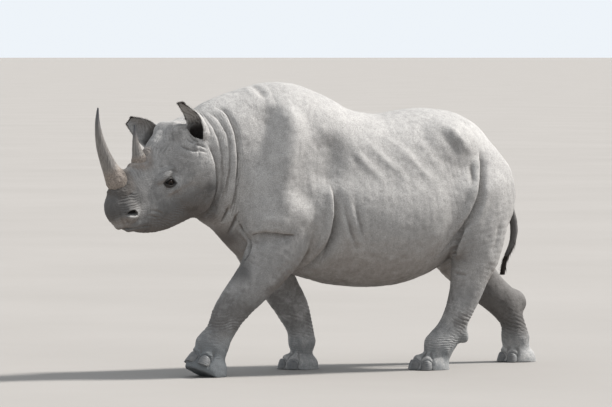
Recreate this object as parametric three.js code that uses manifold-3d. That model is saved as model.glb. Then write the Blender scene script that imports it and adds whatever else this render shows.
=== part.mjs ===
// Black rhinoceros (Diceros bicornis), walking: a still, life-size model of an adult.
// Millimetres. The animal faces -Y, its left side is +X and +Z is up; its feet stand on z = 0.
//
// The flesh is one smooth body: swept limbs and ellipsoid muscles that blend into each other. It is
// turned into a surface, and thin plane cuts part it into head, neck, trunk and legs. Horns, ears,
// nails and tail are lofts that sit on that body.

import * as THREE from 'three';
import { LoftGeometry } from 'three/addons/geometries/LoftGeometry.js';
import { mergeVertices } from 'three/addons/utils/BufferGeometryUtils.js';
import Module from 'manifold-3d';

const wasm = await Module();
wasm.setup();

// ---------------------------------------------------------------- driving dimensions

const WITHERS_HEIGHT = 1592; // top of the shoulder hump
const CROUP_HEIGHT = 1446; // top of the rump
const BACK_HEIGHT = 1414; // lowest point of the back
const BELLY_HEIGHT = 455; // lowest point of the belly
const BARREL_HALF_WIDTH = 400;
const FOOT_HALF_WIDTH = 105;
const EYE_RADIUS = 25;
const GAP = 0.3; // between two solids that touch

// Where the head sits: the point between the eyes, and how the head is turned.
const HEAD_PLACE = new THREE.Vector3(64, -1171, 1052);
const HEAD_PITCH = 30; // nose down, degrees
const HEAD_YAW = 14; // turned to the animal's left

const radians = THREE.MathUtils.degToRad;

// ---------------------------------------------------------------- smooth solids
// A mass is a function from a point to roughly its distance from a surface, negative inside.

const FAR = 1e6;

function blend(a, b, radius) {
	const h = Math.max(radius - Math.abs(a - b), 0) / radius;
	return Math.min(a, b) - h * h * radius * 0.25;
}

// A limb or trunk through stations { x, y, z, wide, deep }: elliptical sections whose half sizes
// are wide (sideways) and deep (across the limb in the animal's own plane).
function sweep(stations, steps = 5) {
	const centres = new THREE.CatmullRomCurve3(
		stations.map((s) => new THREE.Vector3(s.x, s.y, s.z)), false, 'catmullrom', 0.5);
	const sizes = new THREE.CatmullRomCurve3(
		stations.map((s) => new THREE.Vector3(s.wide, s.deep, 0)), false, 'catmullrom', 0.5);
	const count = (stations.length - 1) * steps;
	const reach = Math.max(...stations.map((s) => Math.max(s.wide, s.deep)));
	const box = new THREE.Box3().setFromPoints(stations.map((s) => new THREE.Vector3(s.x, s.y, s.z)));
	box.expandByScalar(reach * 1.1);
	const pieces = [];
	for (let i = 0; i < count; i++) {
		const from = centres.getPoint(i / count);
		const to = centres.getPoint((i + 1) / count);
		const along = to.clone().sub(from);
		const length = along.length();
		along.divideScalar(length);
		const side = new THREE.Vector3(1, 0, 0).addScaledVector(along, -along.x).normalize();
		const up = along.clone().cross(side);
		pieces.push({
			from, along, length, side, up,
			size: sizes.getPoint(i / count), nextSize: sizes.getPoint((i + 1) / count),
		});
	}
	return (p) => {
		const outside = box.distanceToPoint(p);
		if (outside > 100) return outside;
		let best = FAR;
		for (const s of pieces) {
			const dx = p.x - s.from.x;
			const dy = p.y - s.from.y;
			const dz = p.z - s.from.z;
			const travel = dx * s.along.x + dy * s.along.y + dz * s.along.z;
			const t = Math.min(Math.max(travel / s.length, 0), 1);
			const wide = s.size.x + t * (s.nextSize.x - s.size.x);
			const deep = s.size.y + t * (s.nextSize.y - s.size.y);
			const beyond = travel - t * s.length;
			const across = dx * s.side.x + dy * s.side.y + dz * s.side.z;
			const over = dx * s.up.x + dy * s.up.y + dz * s.up.z;
			const small = Math.min(wide, deep);
			const k = Math.hypot(across / wide, over / deep, beyond / small);
			const d = k < 1e-3 ? -small : Math.hypot(across, over, beyond) * (1 - 1 / k);
			if (d < best) best = d;
		}
		return best;
	};
}

// An ellipsoid muscle. tilt turns it about X, then turn about Z, in degrees.
function muscle(x, y, z, wide, long, tall, tilt = 0, turn = 0) {
	const back = new THREE.Matrix4()
		.makeRotationFromEuler(new THREE.Euler(radians(tilt), 0, radians(turn), 'ZYX'))
		.setPosition(x, y, z).invert();
	const small = Math.min(wide, long, tall);
	const q = new THREE.Vector3();
	return (p) => {
		q.copy(p).applyMatrix4(back);
		const k = Math.hypot(q.x / wide, q.y / long, q.z / tall);
		return k < 1e-3 ? -small : q.length() * (1 - 1 / k);
	};
}

// The same mass on the left and on the right.
const bothSides = (make) => [make(1), make(-1)];

// Blends masses one after the other; each entry is [radius, ...masses].
function join(...groups) {
	return (p) => {
		let d = FAR;
		for (const [radius, ...masses] of groups)
			for (const mass of masses) d = blend(d, mass(p), radius);
		return d;
	};
}

const station = (y, z, wide, deep, x = 0) => ({ x, y, z, wide, deep });

// ---------------------------------------------------------------- trunk and neck

// A station of the trunk from the height of its top and bottom.
const hoop = (y, top, bottom, wide, x = 0) => station(y, (top + bottom) / 2, wide, (top - bottom) / 2, x);

const backbone = sweep([
	hoop(-760, 1496, 1000, 195, 8), // crest of the neck
	hoop(-600, 1554, 1000, 225),
	hoop(-430, WITHERS_HEIGHT, 980, 252), // withers
	hoop(-270, 1545, 950, 282),
	hoop(-140, 1478, 920, 298),
	hoop(0, 1437, 890, 308),
	hoop(200, BACK_HEIGHT, 880, 318), // loins
	hoop(450, CROUP_HEIGHT, 880, 308), // croup
	hoop(600, 1424, 870, 280),
	hoop(690, 1352, 850, 226), // root of the tail
]);

const barrel = sweep([
	hoop(-520, 1180, 600, 255), // chest
	hoop(-330, 1270, 556, 325), // girth
	hoop(-90, 1290, 482, 378),
	hoop(110, 1290, BELLY_HEIGHT, BARREL_HALF_WIDTH),
	hoop(290, 1290, 478, 392),
	hoop(440, 1270, 556, 350),
	hoop(590, 1240, 660, 290),
]);

const neck = sweep([
	hoop(-600, 1530, 720, 240),
	hoop(-740, 1500, 792, 222, 10),
	hoop(-850, 1462, 862, 200, 22),
	hoop(-930, 1430, 920, 178, 34),
]);

const trunkMuscles = [
	...bothSides((s) => muscle(s * 200, -480 - s * 20, 1080, 125, 210, 330, -14)), // shoulder blade
	...bothSides((s) => muscle(s * 222, -480 - s * 60, 840, 118, 175, 190)), // upper arm
	...bothSides((s) => muscle(s * 105, -545 - s * 20, 780, 108, 105, 175)), // breast
	...bothSides((s) => muscle(s * 165, 700, 955, 155, 270, 300, -6)), // buttock
	...bothSides((s) => muscle(s * 215, 520, 1250, 85, 150, 115)), // point of the hip
];

// ---------------------------------------------------------------- legs

// Each leg from the body down to its foot: half sizes wide (sideways) and deep (fore and aft).
const legs = {
	fore_left: {
		flesh: [
			station(-480, 860, 118, 190, 232),
			station(-530, 700, 110, 168, 226), // elbow
			station(-615, 560, 96, 128, 216),
			station(-715, 445, 84, 106, 206),
			station(-800, 340, 80, 90, 198), // wrist
			station(-853, 240, 73, 78, 193),
			station(-902, 164, 84, 92, 190), // fetlock
		],
		foot: { x: 190, y: -942, turn: 4, lift: 24, size: 1 },
	},
	fore_right: {
		flesh: [
			station(-430, 860, 118, 168, -232),
			station(-420, 700, 110, 148, -226),
			station(-368, 560, 96, 122, -214),
			station(-286, 430, 84, 104, -202),
			station(-222, 318, 80, 90, -192),
			station(-187, 220, 72, 72, -186),
			station(-177, 150, 82, 74, -182),
		],
		foot: { x: -180, y: -197, turn: -4, lift: 0, size: 0.94 },
	},
	hind_left: {
		flesh: [
			station(640, 960, 150, 255, 205),
			station(680, 790, 140, 218, 212),
			station(700, 650, 118, 152, 213), // stifle
			station(672, 520, 98, 110, 208),
			station(638, 400, 85, 86, 201), // shank
			station(592, 290, 80, 74, 197), // hock
			station(548, 205, 76, 76, 195),
			station(484, 130, 84, 84, 193), // fetlock
		],
		foot: { x: 192, y: 430, turn: 4, lift: 0, size: 0.94 },
	},
	hind_right: {
		flesh: [
			station(680, 960, 150, 245, -205),
			station(740, 790, 140, 205, -212),
			station(800, 655, 118, 160, -213),
			station(890, 530, 96, 128, -208),
			station(1005, 420, 83, 103, -202),
			station(1108, 330, 78, 92, -199),
			station(1160, 225, 70, 68, -198),
			station(1180, 135, 82, 80, -197),
		],
		foot: { x: -196, y: 1190, turn: -4, lift: 0, size: 0.92 },
	},
};

const FOOT_HEIGHT = 130;
const FOOT_HALF_LENGTH = 120;

// A foot is a low round block that spreads towards the sole; its own frame has the sole's centre
// as its origin and its toes towards -Y. lift turns the toes up about the heel.
function footFrame({ x, y, turn, lift }) {
	const heel = 95;
	const m = new THREE.Matrix4().makeTranslation(x, y, 0);
	m.multiply(new THREE.Matrix4().makeRotationZ(radians(turn)));
	m.multiply(new THREE.Matrix4().makeTranslation(0, heel, 0));
	m.multiply(new THREE.Matrix4().makeRotationX(-radians(lift)));
	m.multiply(new THREE.Matrix4().makeTranslation(0, -heel, 0));
	return m;
}

function footMass(foot) {
	const back = footFrame(foot).invert();
	const q = new THREE.Vector3();
	return (p) => {
		q.copy(p).applyMatrix4(back);
		const spread = foot.size * (1 - 0.2 * THREE.MathUtils.clamp(q.z / FOOT_HEIGHT, 0, 1));
		const k = Math.hypot(q.x / (FOOT_HALF_WIDTH * spread), q.y / (FOOT_HALF_LENGTH * spread));
		const wall = k < 1e-3 ? -FOOT_HALF_WIDTH : Math.hypot(q.x, q.y) * (1 - 1 / k);
		return Math.max(-blend(-wall, FOOT_HEIGHT * 0.62 - q.z, 60), -q.z - 30);
	};
}

const hocks = [
	muscle(200, 616, 196, 42, 36, 60, 34),
	muscle(-200, 1195, 350, 42, 45, 62, 35),
];

// ---------------------------------------------------------------- head

// In the head's own frame: the origin lies between the eyes, -Y is towards the nose.
const headFrame = new THREE.Matrix4()
	.makeRotationFromEuler(
		new THREE.Euler(radians(HEAD_PITCH), 0, radians(HEAD_YAW), 'ZXY'))
	.setPosition(HEAD_PLACE);

const EYE = new THREE.Vector3(110, 0, 0); // the left eye's centre

const skull = join(
	[30,
		sweep([
			hoop(300, 225, -170, 138), // back of the head
			hoop(215, 244, -245, 138), // crest
			hoop(110, 208, -284, 124),
			hoop(0, 180, -268, 108),
			hoop(-110, 180, -226, 90),
			hoop(-200, 172, -166, 80),
			hoop(-262, 140, -112, 74),
			hoop(-298, 116, -70, 66),
		]),
		...bothSides((s) => muscle(s * 50, 215, 190, 60, 58, 54)), // crown below the ear
		...bothSides((s) => muscle(s * 88, 150, -105, 60, 128, 138)), // cheek
		...bothSides((s) => muscle(s * 88, 90, -22, 46, 120, 34, 12)), // cheekbone
	],
	[24,
		...bothSides((s) => muscle(s * 84, 5, 46, 40, 66, 30, 8)), // brow
		...bothSides((s) => muscle(s * 62, -270, -12, 34, 50, 56)), // nostril wing
		muscle(0, -314, 0, 50, 56, 70), // upper lip
		muscle(0, -232, -112, 54, 82, 34), // lower lip and chin
	],
);

// ---------------------------------------------------------------- the whole flesh

const headBack = headFrame.clone().invert();
const headPoint = new THREE.Vector3();
const head = (p) => skull(headPoint.copy(p).applyMatrix4(headBack));

const body = join(
	[90, backbone, barrel],
	[70, ...trunkMuscles, neck],
	[50, head],
	[60, ...Object.values(legs).map((leg) => sweep(leg.flesh))],
	[40, ...hocks],
	[45, ...Object.values(legs).map((leg) => footMass(leg.foot))],
);

// ---------------------------------------------------------------- surface of a field

function boxDistance(p, box) {
	return Math.max(
		box.min.x - p.x, p.x - box.max.x,
		box.min.y - p.y, p.y - box.max.y,
		box.min.z - p.z, p.z - box.max.z);
}

// Surface nets: one vertex for each cell that the surface crosses, relaxed along the surface and
// drawn back onto it. The field is clipped to the box, so that the result is closed.
function surface(field, box, cell) {
	const inner = box.clone().expandByVector(cell.clone().multiplyScalar(-0.6));
	const value = (p) => Math.max(field(p), boxDistance(p, inner));
	const n = ['x', 'y', 'z'].map((c) => Math.ceil((box.max[c] - box.min[c]) / cell[c]) + 1);
	const index = (i, j, k) => (k * n[1] + j) * n[0] + i;
	const samples = new Float64Array(n[0] * n[1] * n[2]);
	const at = new THREE.Vector3();
	for (let k = 0; k < n[2]; k++)
		for (let j = 0; j < n[1]; j++)
			for (let i = 0; i < n[0]; i++) {
				at.set(box.min.x + i * cell.x, box.min.y + j * cell.y, box.min.z + k * cell.z);
				samples[index(i, j, k)] = value(at);
			}

	const points = [];
	const pointOf = new Int32Array(samples.length).fill(-1);
	for (let k = 0; k < n[2] - 1; k++)
		for (let j = 0; j < n[1] - 1; j++)
			for (let i = 0; i < n[0] - 1; i++) {
				const middle = crossingMean(samples, index, i, j, k);
				if (!middle) continue;
				pointOf[index(i, j, k)] = points.length;
				points.push(middle.multiply(cell).add(box.min));
			}

	const quads = [];
	const steps = [[1, 0, 0], [0, 1, 0], [0, 0, 1]];
	for (let k = 0; k < n[2] - 1; k++)
		for (let j = 0; j < n[1] - 1; j++)
			for (let i = 0; i < n[0] - 1; i++)
				steps.forEach((step, axis) => {
					const a = samples[index(i, j, k)] < 0;
					const b = samples[index(i + step[0], j + step[1], k + step[2])] < 0;
					if (a === b) return;
					const u = steps[(axis + 1) % 3];
					const v = steps[(axis + 2) % 3];
					const round = [[0, 0], [1, 0], [1, 1], [0, 1]].map(([s, t]) => pointOf[index(
						i - s * u[0] - t * v[0], j - s * u[1] - t * v[1], k - s * u[2] - t * v[2])]);
					quads.push(a ? round : round.reverse());
				});

	relax(points, quads, value);
	const triangles = quads.flatMap(([a, b, c, d]) =>
		points[a].distanceTo(points[c]) < points[b].distanceTo(points[d])
			? [a, b, c, a, c, d] : [a, b, d, b, c, d]);
	return { flesh: solid(points, triangles), inflated: solid(swell(points, triangles), triangles) };
}

// The same surface a little larger, for what is seated on it: every point goes out along its normal.
function swell(points, triangles, by = 2 * GAP) {
	const geometry = new THREE.BufferGeometry().setFromPoints(points).setIndex(triangles);
	geometry.computeVertexNormals();
	const normals = geometry.attributes.normal;
	const normal = new THREE.Vector3();
	return points.map((p, i) => p.clone().addScaledVector(normal.fromBufferAttribute(normals, i), by));
}

const CORNERS = [0, 1, 2, 3, 4, 5, 6, 7].map((c) => [c & 1, (c >> 1) & 1, c >> 2]);
const EDGES = CORNERS.flatMap((a, i) => CORNERS.map((b, j) => [i, j])
	.filter(([, j]) => j > i && CORNERS[j].filter((v, c) => v !== a[c]).length === 1));

// The mean of the points where the surface crosses a cell's edges, in cells, or null.
function crossingMean(samples, index, i, j, k) {
	const v = CORNERS.map(([a, b, c]) => samples[index(i + a, j + b, k + c)]);
	const sum = new THREE.Vector3();
	let count = 0;
	for (const [a, b] of EDGES) {
		if (v[a] < 0 === v[b] < 0) continue;
		const t = v[a] / (v[a] - v[b]);
		sum.x += i + CORNERS[a][0] + t * (CORNERS[b][0] - CORNERS[a][0]);
		sum.y += j + CORNERS[a][1] + t * (CORNERS[b][1] - CORNERS[a][1]);
		sum.z += k + CORNERS[a][2] + t * (CORNERS[b][2] - CORNERS[a][2]);
		count++;
	}
	return count ? sum.divideScalar(count) : null;
}

function relax(points, quads, value, rounds = 4) {
	const neighbours = points.map(() => new Set());
	for (const q of quads)
		q.forEach((p, i) => {
			neighbours[p].add(q[(i + 1) % 4]);
			neighbours[p].add(q[(i + 3) % 4]);
		});
	for (let round = 0; round < rounds; round++) {
		const means = neighbours.map((near) => {
			const mean = new THREE.Vector3();
			near.forEach((q) => mean.add(points[q]));
			return mean.divideScalar(near.size);
		});
		points.forEach((p, i) => {
			p.lerp(means[i], 0.5);
			project(p, value);
		});
	}
	for (const p of points) project(p, value);
}

// One Newton step along the gradient, no longer than 15 mm.
function project(p, value) {
	const h = 1;
	const here = value(p);
	const slope = new THREE.Vector3();
	for (const c of ['x', 'y', 'z']) {
		p[c] += h;
		slope[c] = (value(p) - here) / h;
		p[c] -= h;
	}
	const steep = Math.max(slope.lengthSq(), 0.05);
	p.addScaledVector(slope, THREE.MathUtils.clamp(-here / steep, -15, 15));
}

// ---------------------------------------------------------------- solids and cuts

function solid(points, triangles) {
	return new wasm.Manifold(new wasm.Mesh({
		numProp: 3,
		vertProperties: new Float32Array(points.flatMap((p) => [p.x, p.y, p.z])),
		triVerts: new Uint32Array(triangles),
	}));
}

function solidOf(geometry) {
	const bare = new THREE.BufferGeometry();
	bare.setAttribute('position', geometry.attributes.position);
	bare.setIndex(geometry.index);
	const merged = mergeVertices(bare, 1e-3);
	return new wasm.Manifold(new wasm.Mesh({
		numProp: 3,
		vertProperties: merged.attributes.position.array,
		triVerts: new Uint32Array(merged.index.array),
	}));
}

function geometryOf(made) {
	const mesh = made.getMesh();
	const geometry = new THREE.BufferGeometry();
	geometry.setAttribute('position', new THREE.BufferAttribute(new Float32Array(mesh.vertProperties), 3));
	geometry.setIndex(new THREE.BufferAttribute(new Uint32Array(mesh.triVerts), 1));
	geometry.computeVertexNormals();
	return geometry;
}

// The largest body of a solid, so that a cut leaves no crumbs.
function largest(made) {
	return made.decompose().reduce((a, b) => (b.volume() > a.volume() ? b : a));
}

// The two sides of a plane through a point: [ahead of the normal, behind it], a gap apart.
function split(made, point, normal) {
	const n = new THREE.Vector3(...normal).normalize();
	const offset = n.dot(new THREE.Vector3(...point));
	return [
		made.trimByPlane([n.x, n.y, n.z], offset + GAP / 2),
		made.trimByPlane([-n.x, -n.y, -n.z], -offset + GAP / 2),
	];
}

// A slab over a polygon of [y, z] corners, from x0 to x1.
function prism(corners, x0, x1) {
	const shape = new THREE.Shape(corners.map(([y, z]) => new THREE.Vector2(y, z)));
	const geometry = new THREE.ExtrudeGeometry(shape, { depth: x1 - x0, bevelEnabled: false });
	// The shape's x, y and depth become y, z and x.
	geometry.applyMatrix4(new THREE.Matrix4().set(0, 0, 1, x0, 1, 0, 0, 0, 0, 1, 0, 0, 0, 0, 0, 1));
	return solidOf(geometry);
}

// ---------------------------------------------------------------- materials

const finish = (color, roughness) => new THREE.MeshStandardMaterial({ color, roughness, metalness: 0 });
const materials = {
	skin: finish(0x9b948c, 0.9),
	horn: finish(0x6e655d, 0.6),
	nail: finish(0x4f5458, 0.6),
	eye: finish(0x1c1512, 0.08),
	hair: finish(0x2c2522, 0.9),
};

const rhinoceros = new THREE.Group();
const headGroup = new THREE.Group();
headGroup.applyMatrix4(headFrame);
rhinoceros.add(headGroup);

function add(name, made, material, group = rhinoceros) {
	const mesh = new THREE.Mesh(geometryOf(made), material);
	mesh.name = name;
	group.add(mesh);
}

// ---------------------------------------------------------------- build the trunk

const box = (x0, y0, z0, x1, y1, z1) =>
	new THREE.Box3(new THREE.Vector3(x0, y0, z0), new THREE.Vector3(x1, y1, z1));
const cube = (size) => new THREE.Vector3(size, size, size);

// Where each leg leaves the trunk: corners [y, z] of a region on that leg's side of the animal.
const legRegions = {
	fore_left: [[-1120, -80], [-430, -80], [-430, 520], [-330, 640], [-330, 720], [-790, 720], [-1120, 400]],
	fore_right: [[-460, -80], [20, -80], [-30, 300], [-120, 440], [-250, 720], [-640, 720], [-640, 560]],
	hind_left: [[200, -80], [800, -80], [900, 500], [1130, 840], [560, 840], [440, 560], [400, 430]],
	hind_right: [[900, -80], [1360, -80], [1360, 560], [1130, 840], [560, 840], [440, 560], [700, 400]],
};
const legInner = { fore_left: 100, fore_right: 100, hind_left: GAP / 2, hind_right: GAP / 2 };

// The polygon with every side moved out by the same distance.
function grow(corners, by) {
	const points = corners.map(([y, z]) => new THREE.Vector2(y, z));
	const out = THREE.ShapeUtils.isClockWise(points) ? -by : by;
	const normals = points.map((p, i) => {
		const side = points[(i + 1) % points.length].clone().sub(p).normalize();
		return new THREE.Vector2(side.y, -side.x);
	});
	return points.map((p, i) => {
		const before = normals.at(i - 1);
		const sum = before.clone().add(normals[i]);
		const q = p.clone().addScaledVector(sum, out / (1 + before.dot(normals[i])));
		return [q.x, q.y];
	});
}

function legPrism(name, extra) {
	const corners = grow(legRegions[name], extra);
	const inner = legInner[name] - extra;
	return name.endsWith('left') ? prism(corners, inner, 600) : prism(corners, -600, -inner);
}

const torso = surface(body, box(-480, -980, 400, 480, 1080, 1700), new THREE.Vector3(102, 118, 102));
let trunk = torso.flesh;
for (const name of Object.keys(legs)) trunk = trunk.subtract(legPrism(name, GAP));
const NECK_CUT = [[130, -850, 1050], [0.26, -0.95, -0.12]];
const SHOULDER_CUT = [[0, -690, 1100], [0, -1, 0.1]];
const GIRTH_CUT = [[0, -200, 900], [0, -1, 0.1]];
const FLANK_CUT = [[0, 480, 1000], [0, -1, 0.11]];

let rest = split(trunk, ...NECK_CUT)[1];
let piece;
[piece, rest] = split(rest, ...SHOULDER_CUT);
add('neck', largest(piece), materials.skin);
[piece, rest] = split(rest, ...GIRTH_CUT);
add('shoulders', largest(piece), materials.skin);
[piece, rest] = split(rest, ...FLANK_CUT);
add('barrel', largest(piece), materials.skin);
const hindquarters = largest(rest);
add('hindquarters', hindquarters, materials.skin);

// ---------------------------------------------------------------- build the legs

const LEG_CUTS = {
	fore_left: [[[0, -808, 330], [0, 0.5, 1]], [[0, -888, 165], [0, 0.35, 1]]],
	fore_right: [[[0, -226, 315], [0, -0.45, 1]], [[0, -186, 150], [0, 0, 1]]],
	hind_left: [[[0, 660, 530], [0, -0.25, 1]], [[0, 575, 280], [0, 0.5, 1]], [[0, 470, 130], [0, 0.6, 1]]],
	hind_right: [[[0, 840, 600], [0, -0.6, 1]], [[0, 1132, 306], [0, -0.4, 1]], [[0, 1180, 140], [0, 0, 1]]],
};
const LEG_PARTS = {
	fore: ['forearm', 'fore_cannon', 'forefoot'],
	hind: ['thigh', 'shank', 'hind_cannon', 'hindfoot'],
};

const NAILS = [-1, 0, 1]; // each foot has three nails
const NAIL_TURN = 48; // degrees from one nail to the next

const LEG_CELL = 71;

function nailGeometry(k, { size }) {
	const geometry = new THREE.SphereGeometry(1, 8, 4);
	geometry.scale(k ? 36 : 43, 24, k ? 44 : 50);
	geometry.translate(0, -FOOT_HALF_LENGTH * 0.9, 30);
	geometry.rotateZ(radians(k * NAIL_TURN));
	geometry.scale(size, size, size);
	return geometry;
}

for (const [name, leg] of Object.entries(legs)) {
	const [end, side] = name.split('_');
	const left = side === 'left';
	const ys = legRegions[name].map((c) => c[0]);
	const reach = box(left ? -LEG_CELL : -470, Math.min(...ys) - LEG_CELL, -75,
		left ? 470 : LEG_CELL, Math.max(...ys) + LEG_CELL, 960);
	const { flesh, inflated } = surface(body, reach, cube(LEG_CELL));
	const grounded = flesh.intersect(legPrism(name, 0)).trimByPlane([0, 0, 1], 0);
	let below = largest(grounded);
	const parts = LEG_PARTS[end];
	LEG_CUTS[name].forEach((cut, i) => {
		const halves = split(below, ...cut);
		add(`${parts[i]}_${side}`, largest(halves[0]), materials.skin);
		below = largest(halves[1]);
	});
	add(`${parts.at(-1)}_${side}`, below, materials.skin);

	const frame = footFrame(leg.foot);
	NAILS.forEach((k) => {
		const geometry = nailGeometry(k, leg.foot).applyMatrix4(frame);
		const nail = solidOf(geometry).subtract(inflated).trimByPlane([0, 0, 1], 3);
		const label = { '-1': 'inner', 0: 'middle', 1: 'outer' }[left ? k : -k];
		add(`nail_${name}_${label}`, largest(nail), materials.nail);
	});
}

// ---------------------------------------------------------------- build the head

const atHead = (p) => body(new THREE.Vector3().copy(p).applyMatrix4(headFrame));
const headBox = box(-250, -440, -420, 250, 520, 320);
const HEAD_CELL = cube(45);
const cutToHead = ([point, normal]) => {
	const p = new THREE.Vector3(...point).applyMatrix4(headBack);
	const n = new THREE.Vector3(...normal).transformDirection(headBack);
	return [p.toArray(), n.toArray()];
};
const { flesh: headFlesh, inflated: headInflated } = surface(atHead, headBox, HEAD_CELL);

const eyes = bothSides((s) => {
	const ball = new THREE.SphereGeometry(EYE_RADIUS, 10, 6);
	ball.translate(s * EYE.x, EYE.y, EYE.z);
	return ball;
});
const sockets = bothSides((s) => {
	const ball = new THREE.SphereGeometry(EYE_RADIUS + GAP * 2, 10, 6);
	ball.translate(s * EYE.x, EYE.y, EYE.z);
	return solidOf(ball);
});
let face = split(headFlesh, ...cutToHead(NECK_CUT))[0];
for (const socket of sockets) face = face.subtract(socket);
const JAW_CUT = [[0, -180, -138], [0, 0.25, 1]];
const [upper, lower] = split(largest(face), ...JAW_CUT);
add('head', largest(upper), materials.skin, headGroup);
add('lower_jaw', largest(lower), materials.skin, headGroup);
eyes.forEach((ball, i) => add(i ? 'eye_right' : 'eye_left', solidOf(ball), materials.eye, headGroup));

// A horn: round sections along a curve that bends back, from the base to the tip.
function horn(base, tip, bend, radiusAt, rings, sides) {
	const curve = new THREE.QuadraticBezierCurve3(base, bend, tip);
	const sections = [];
	for (let i = 0; i <= rings; i++) {
		const t = i / rings;
		const centre = curve.getPoint(t);
		const along = curve.getTangent(t);
		const side = new THREE.Vector3(1, 0, 0);
		const fore = along.clone().cross(side);
		const [wide, deep] = radiusAt(t);
		sections.push(Array.from({ length: sides }, (_, s) => {
			const a = (s / sides) * 2 * Math.PI;
			return centre.clone()
				.addScaledVector(side, wide * Math.cos(a))
				.addScaledVector(fore, deep * Math.sin(a));
		}));
	}
	return new LoftGeometry(sections, { capStart: true, capEnd: true });
}

const flare = (t, foot, rise) => foot * Math.max(0, 1 - t / rise) ** 2; // the wide rough base
const frontHorn = horn(
	new THREE.Vector3(0, -218, 100), new THREE.Vector3(0, -140, 550), new THREE.Vector3(0, -270, 385),
	(t) => [4 + 50 * (1 - t) ** 1.05 + flare(t, 22, 0.32), 4 + 52 * (1 - t) ** 1.05 + flare(t, 28, 0.32)], 10, 12);
const rearHorn = horn(
	new THREE.Vector3(0, -44, 110), new THREE.Vector3(0, 28, 346), new THREE.Vector3(0, -42, 228),
	(t) => [3 + 42 * (1 - t) ** 1.1 + flare(t, 30, 0.5), 3 + 48 * (1 - t) ** 1.1 + flare(t, 34, 0.5)], 7, 12);
for (const [name, geometry] of [['horn_front', frontHorn], ['horn_rear', rearHorn]])
	add(name, largest(solidOf(geometry).subtract(headInflated)), materials.horn, headGroup);

// An ear: crescent sections up its axis, a tube at the root that opens into a cup and leans
// towards its mouth.
const EAR_WALL = 9;
function ear({ root, tip, mouth, length, breadth, lean }) {
	const sections = [];
	const rings = 8;
	const points = 6;
	for (let i = 0; i <= rings; i++) {
		const t = i / rings;
		const width = breadth * (30 + 42 * Math.sin(Math.PI * Math.min(1, 0.06 + t * 0.88)) - 12 * t * t);
		const shut = radians(150 - 85 * Math.min(1, t * 1.5)); // half angle that the wall wraps
		const radius = width / Math.sin(Math.min(shut, Math.PI / 2));
		const back = 28 + 20 * Math.sin(Math.PI * t) - (26 + lean) * t * t;
		const arc = (r, k) => {
			const a = -shut + (2 * shut * k) / points;
			return new THREE.Vector3(r * Math.sin(a), back - radius + r * Math.cos(a), t * length);
		};
		const wall = EAR_WALL * (1.5 - 0.6 * t);
		const outer = Array.from({ length: points + 1 }, (_, k) => arc(radius, k));
		const inner = Array.from({ length: points + 1 }, (_, k) => arc(radius - wall, k));
		sections.push([...outer, ...inner.reverse()].reverse());
	}
	const up = tip.clone().sub(root).normalize();
	const rear = mouth.clone().negate().addScaledVector(up, mouth.dot(up)).normalize();
	const frame = new THREE.Matrix4().makeBasis(rear.clone().cross(up), rear, up).setPosition(root);
	return new LoftGeometry(sections, { capStart: true, capEnd: true }).applyMatrix4(frame);
}
const ears = {
	ear_left: {
		root: new THREE.Vector3(140, 296, 66),
		tip: new THREE.Vector3(150, 338, 344),
		mouth: new THREE.Vector3(0.15, -1, 0),
		length: 275,
		breadth: 0.85,
		lean: 82,
	},
	ear_right: {
		root: new THREE.Vector3(-128, 255, 72),
		tip: new THREE.Vector3(-290, 182, 300),
		mouth: new THREE.Vector3(0.62, -0.72, 0.3),
		length: 255,
		breadth: 1,
		lean: 0,
	},
};
for (const [name, spec] of Object.entries(ears))
	add(name, largest(solidOf(ear(spec)).subtract(headInflated)), materials.skin, headGroup);

// ---------------------------------------------------------------- build the tail

const tailCurve = new THREE.CatmullRomCurve3([
	new THREE.Vector3(0, 820, 1230), new THREE.Vector3(0, 945, 1130), new THREE.Vector3(0, 1002, 960),
	new THREE.Vector3(0, 1058, 800), new THREE.Vector3(0, 1056, 700), new THREE.Vector3(0, 1008, 600),
	new THREE.Vector3(0, 990, 530),
]);
function tube(curve, from, to, rings, sides, radiusAt) {
	const sections = [];
	for (let i = 0; i <= rings; i++) {
		const t = from + ((to - from) * i) / rings;
		const centre = curve.getPoint(t);
		const along = curve.getTangent(t);
		const side = new THREE.Vector3(1, 0, 0);
		const fore = along.clone().cross(side);
		const [wide, deep] = radiusAt(t);
		sections.push(Array.from({ length: sides }, (_, s) => {
			const a = (s / sides) * 2 * Math.PI;
			return centre.clone()
				.addScaledVector(side, wide * Math.cos(a))
				.addScaledVector(fore, deep * Math.sin(a));
		}));
	}
	return solidOf(new LoftGeometry(sections, { capStart: true, capEnd: true }));
}
const TUFT_FROM = 0.72;
const tailRadius = (t) => [16 + 26 * (1 - t) ** 2, 16 + 26 * (1 - t) ** 2];
add('tail', largest(tube(tailCurve, 0, TUFT_FROM - 0.001, 9, 8, tailRadius).subtract(torso.inflated)),
	materials.skin);
add('tail_tuft', tube(tailCurve, TUFT_FROM, 1, 4, 8,
	(t) => [30 - 20 * Math.abs(t - 0.85) / 0.15, 14 - 6 * Math.abs(t - 0.85) / 0.15].map((r) => Math.max(r, 6))),
materials.hair);

// The origin is the middle of the ground that the animal covers.
const bounds = new THREE.Box3().setFromObject(rhinoceros, true);
const middle = bounds.getCenter(new THREE.Vector3());
rhinoceros.position.set(-middle.x, -middle.y, -bounds.min.z);

export default rhinoceros;
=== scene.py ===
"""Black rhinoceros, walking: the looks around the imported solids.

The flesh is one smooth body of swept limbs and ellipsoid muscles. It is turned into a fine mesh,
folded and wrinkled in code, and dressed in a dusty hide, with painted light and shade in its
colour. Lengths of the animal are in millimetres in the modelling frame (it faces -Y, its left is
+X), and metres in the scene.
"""

import math

import bpy
import numpy as np
from mathutils import Matrix, Vector


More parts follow.
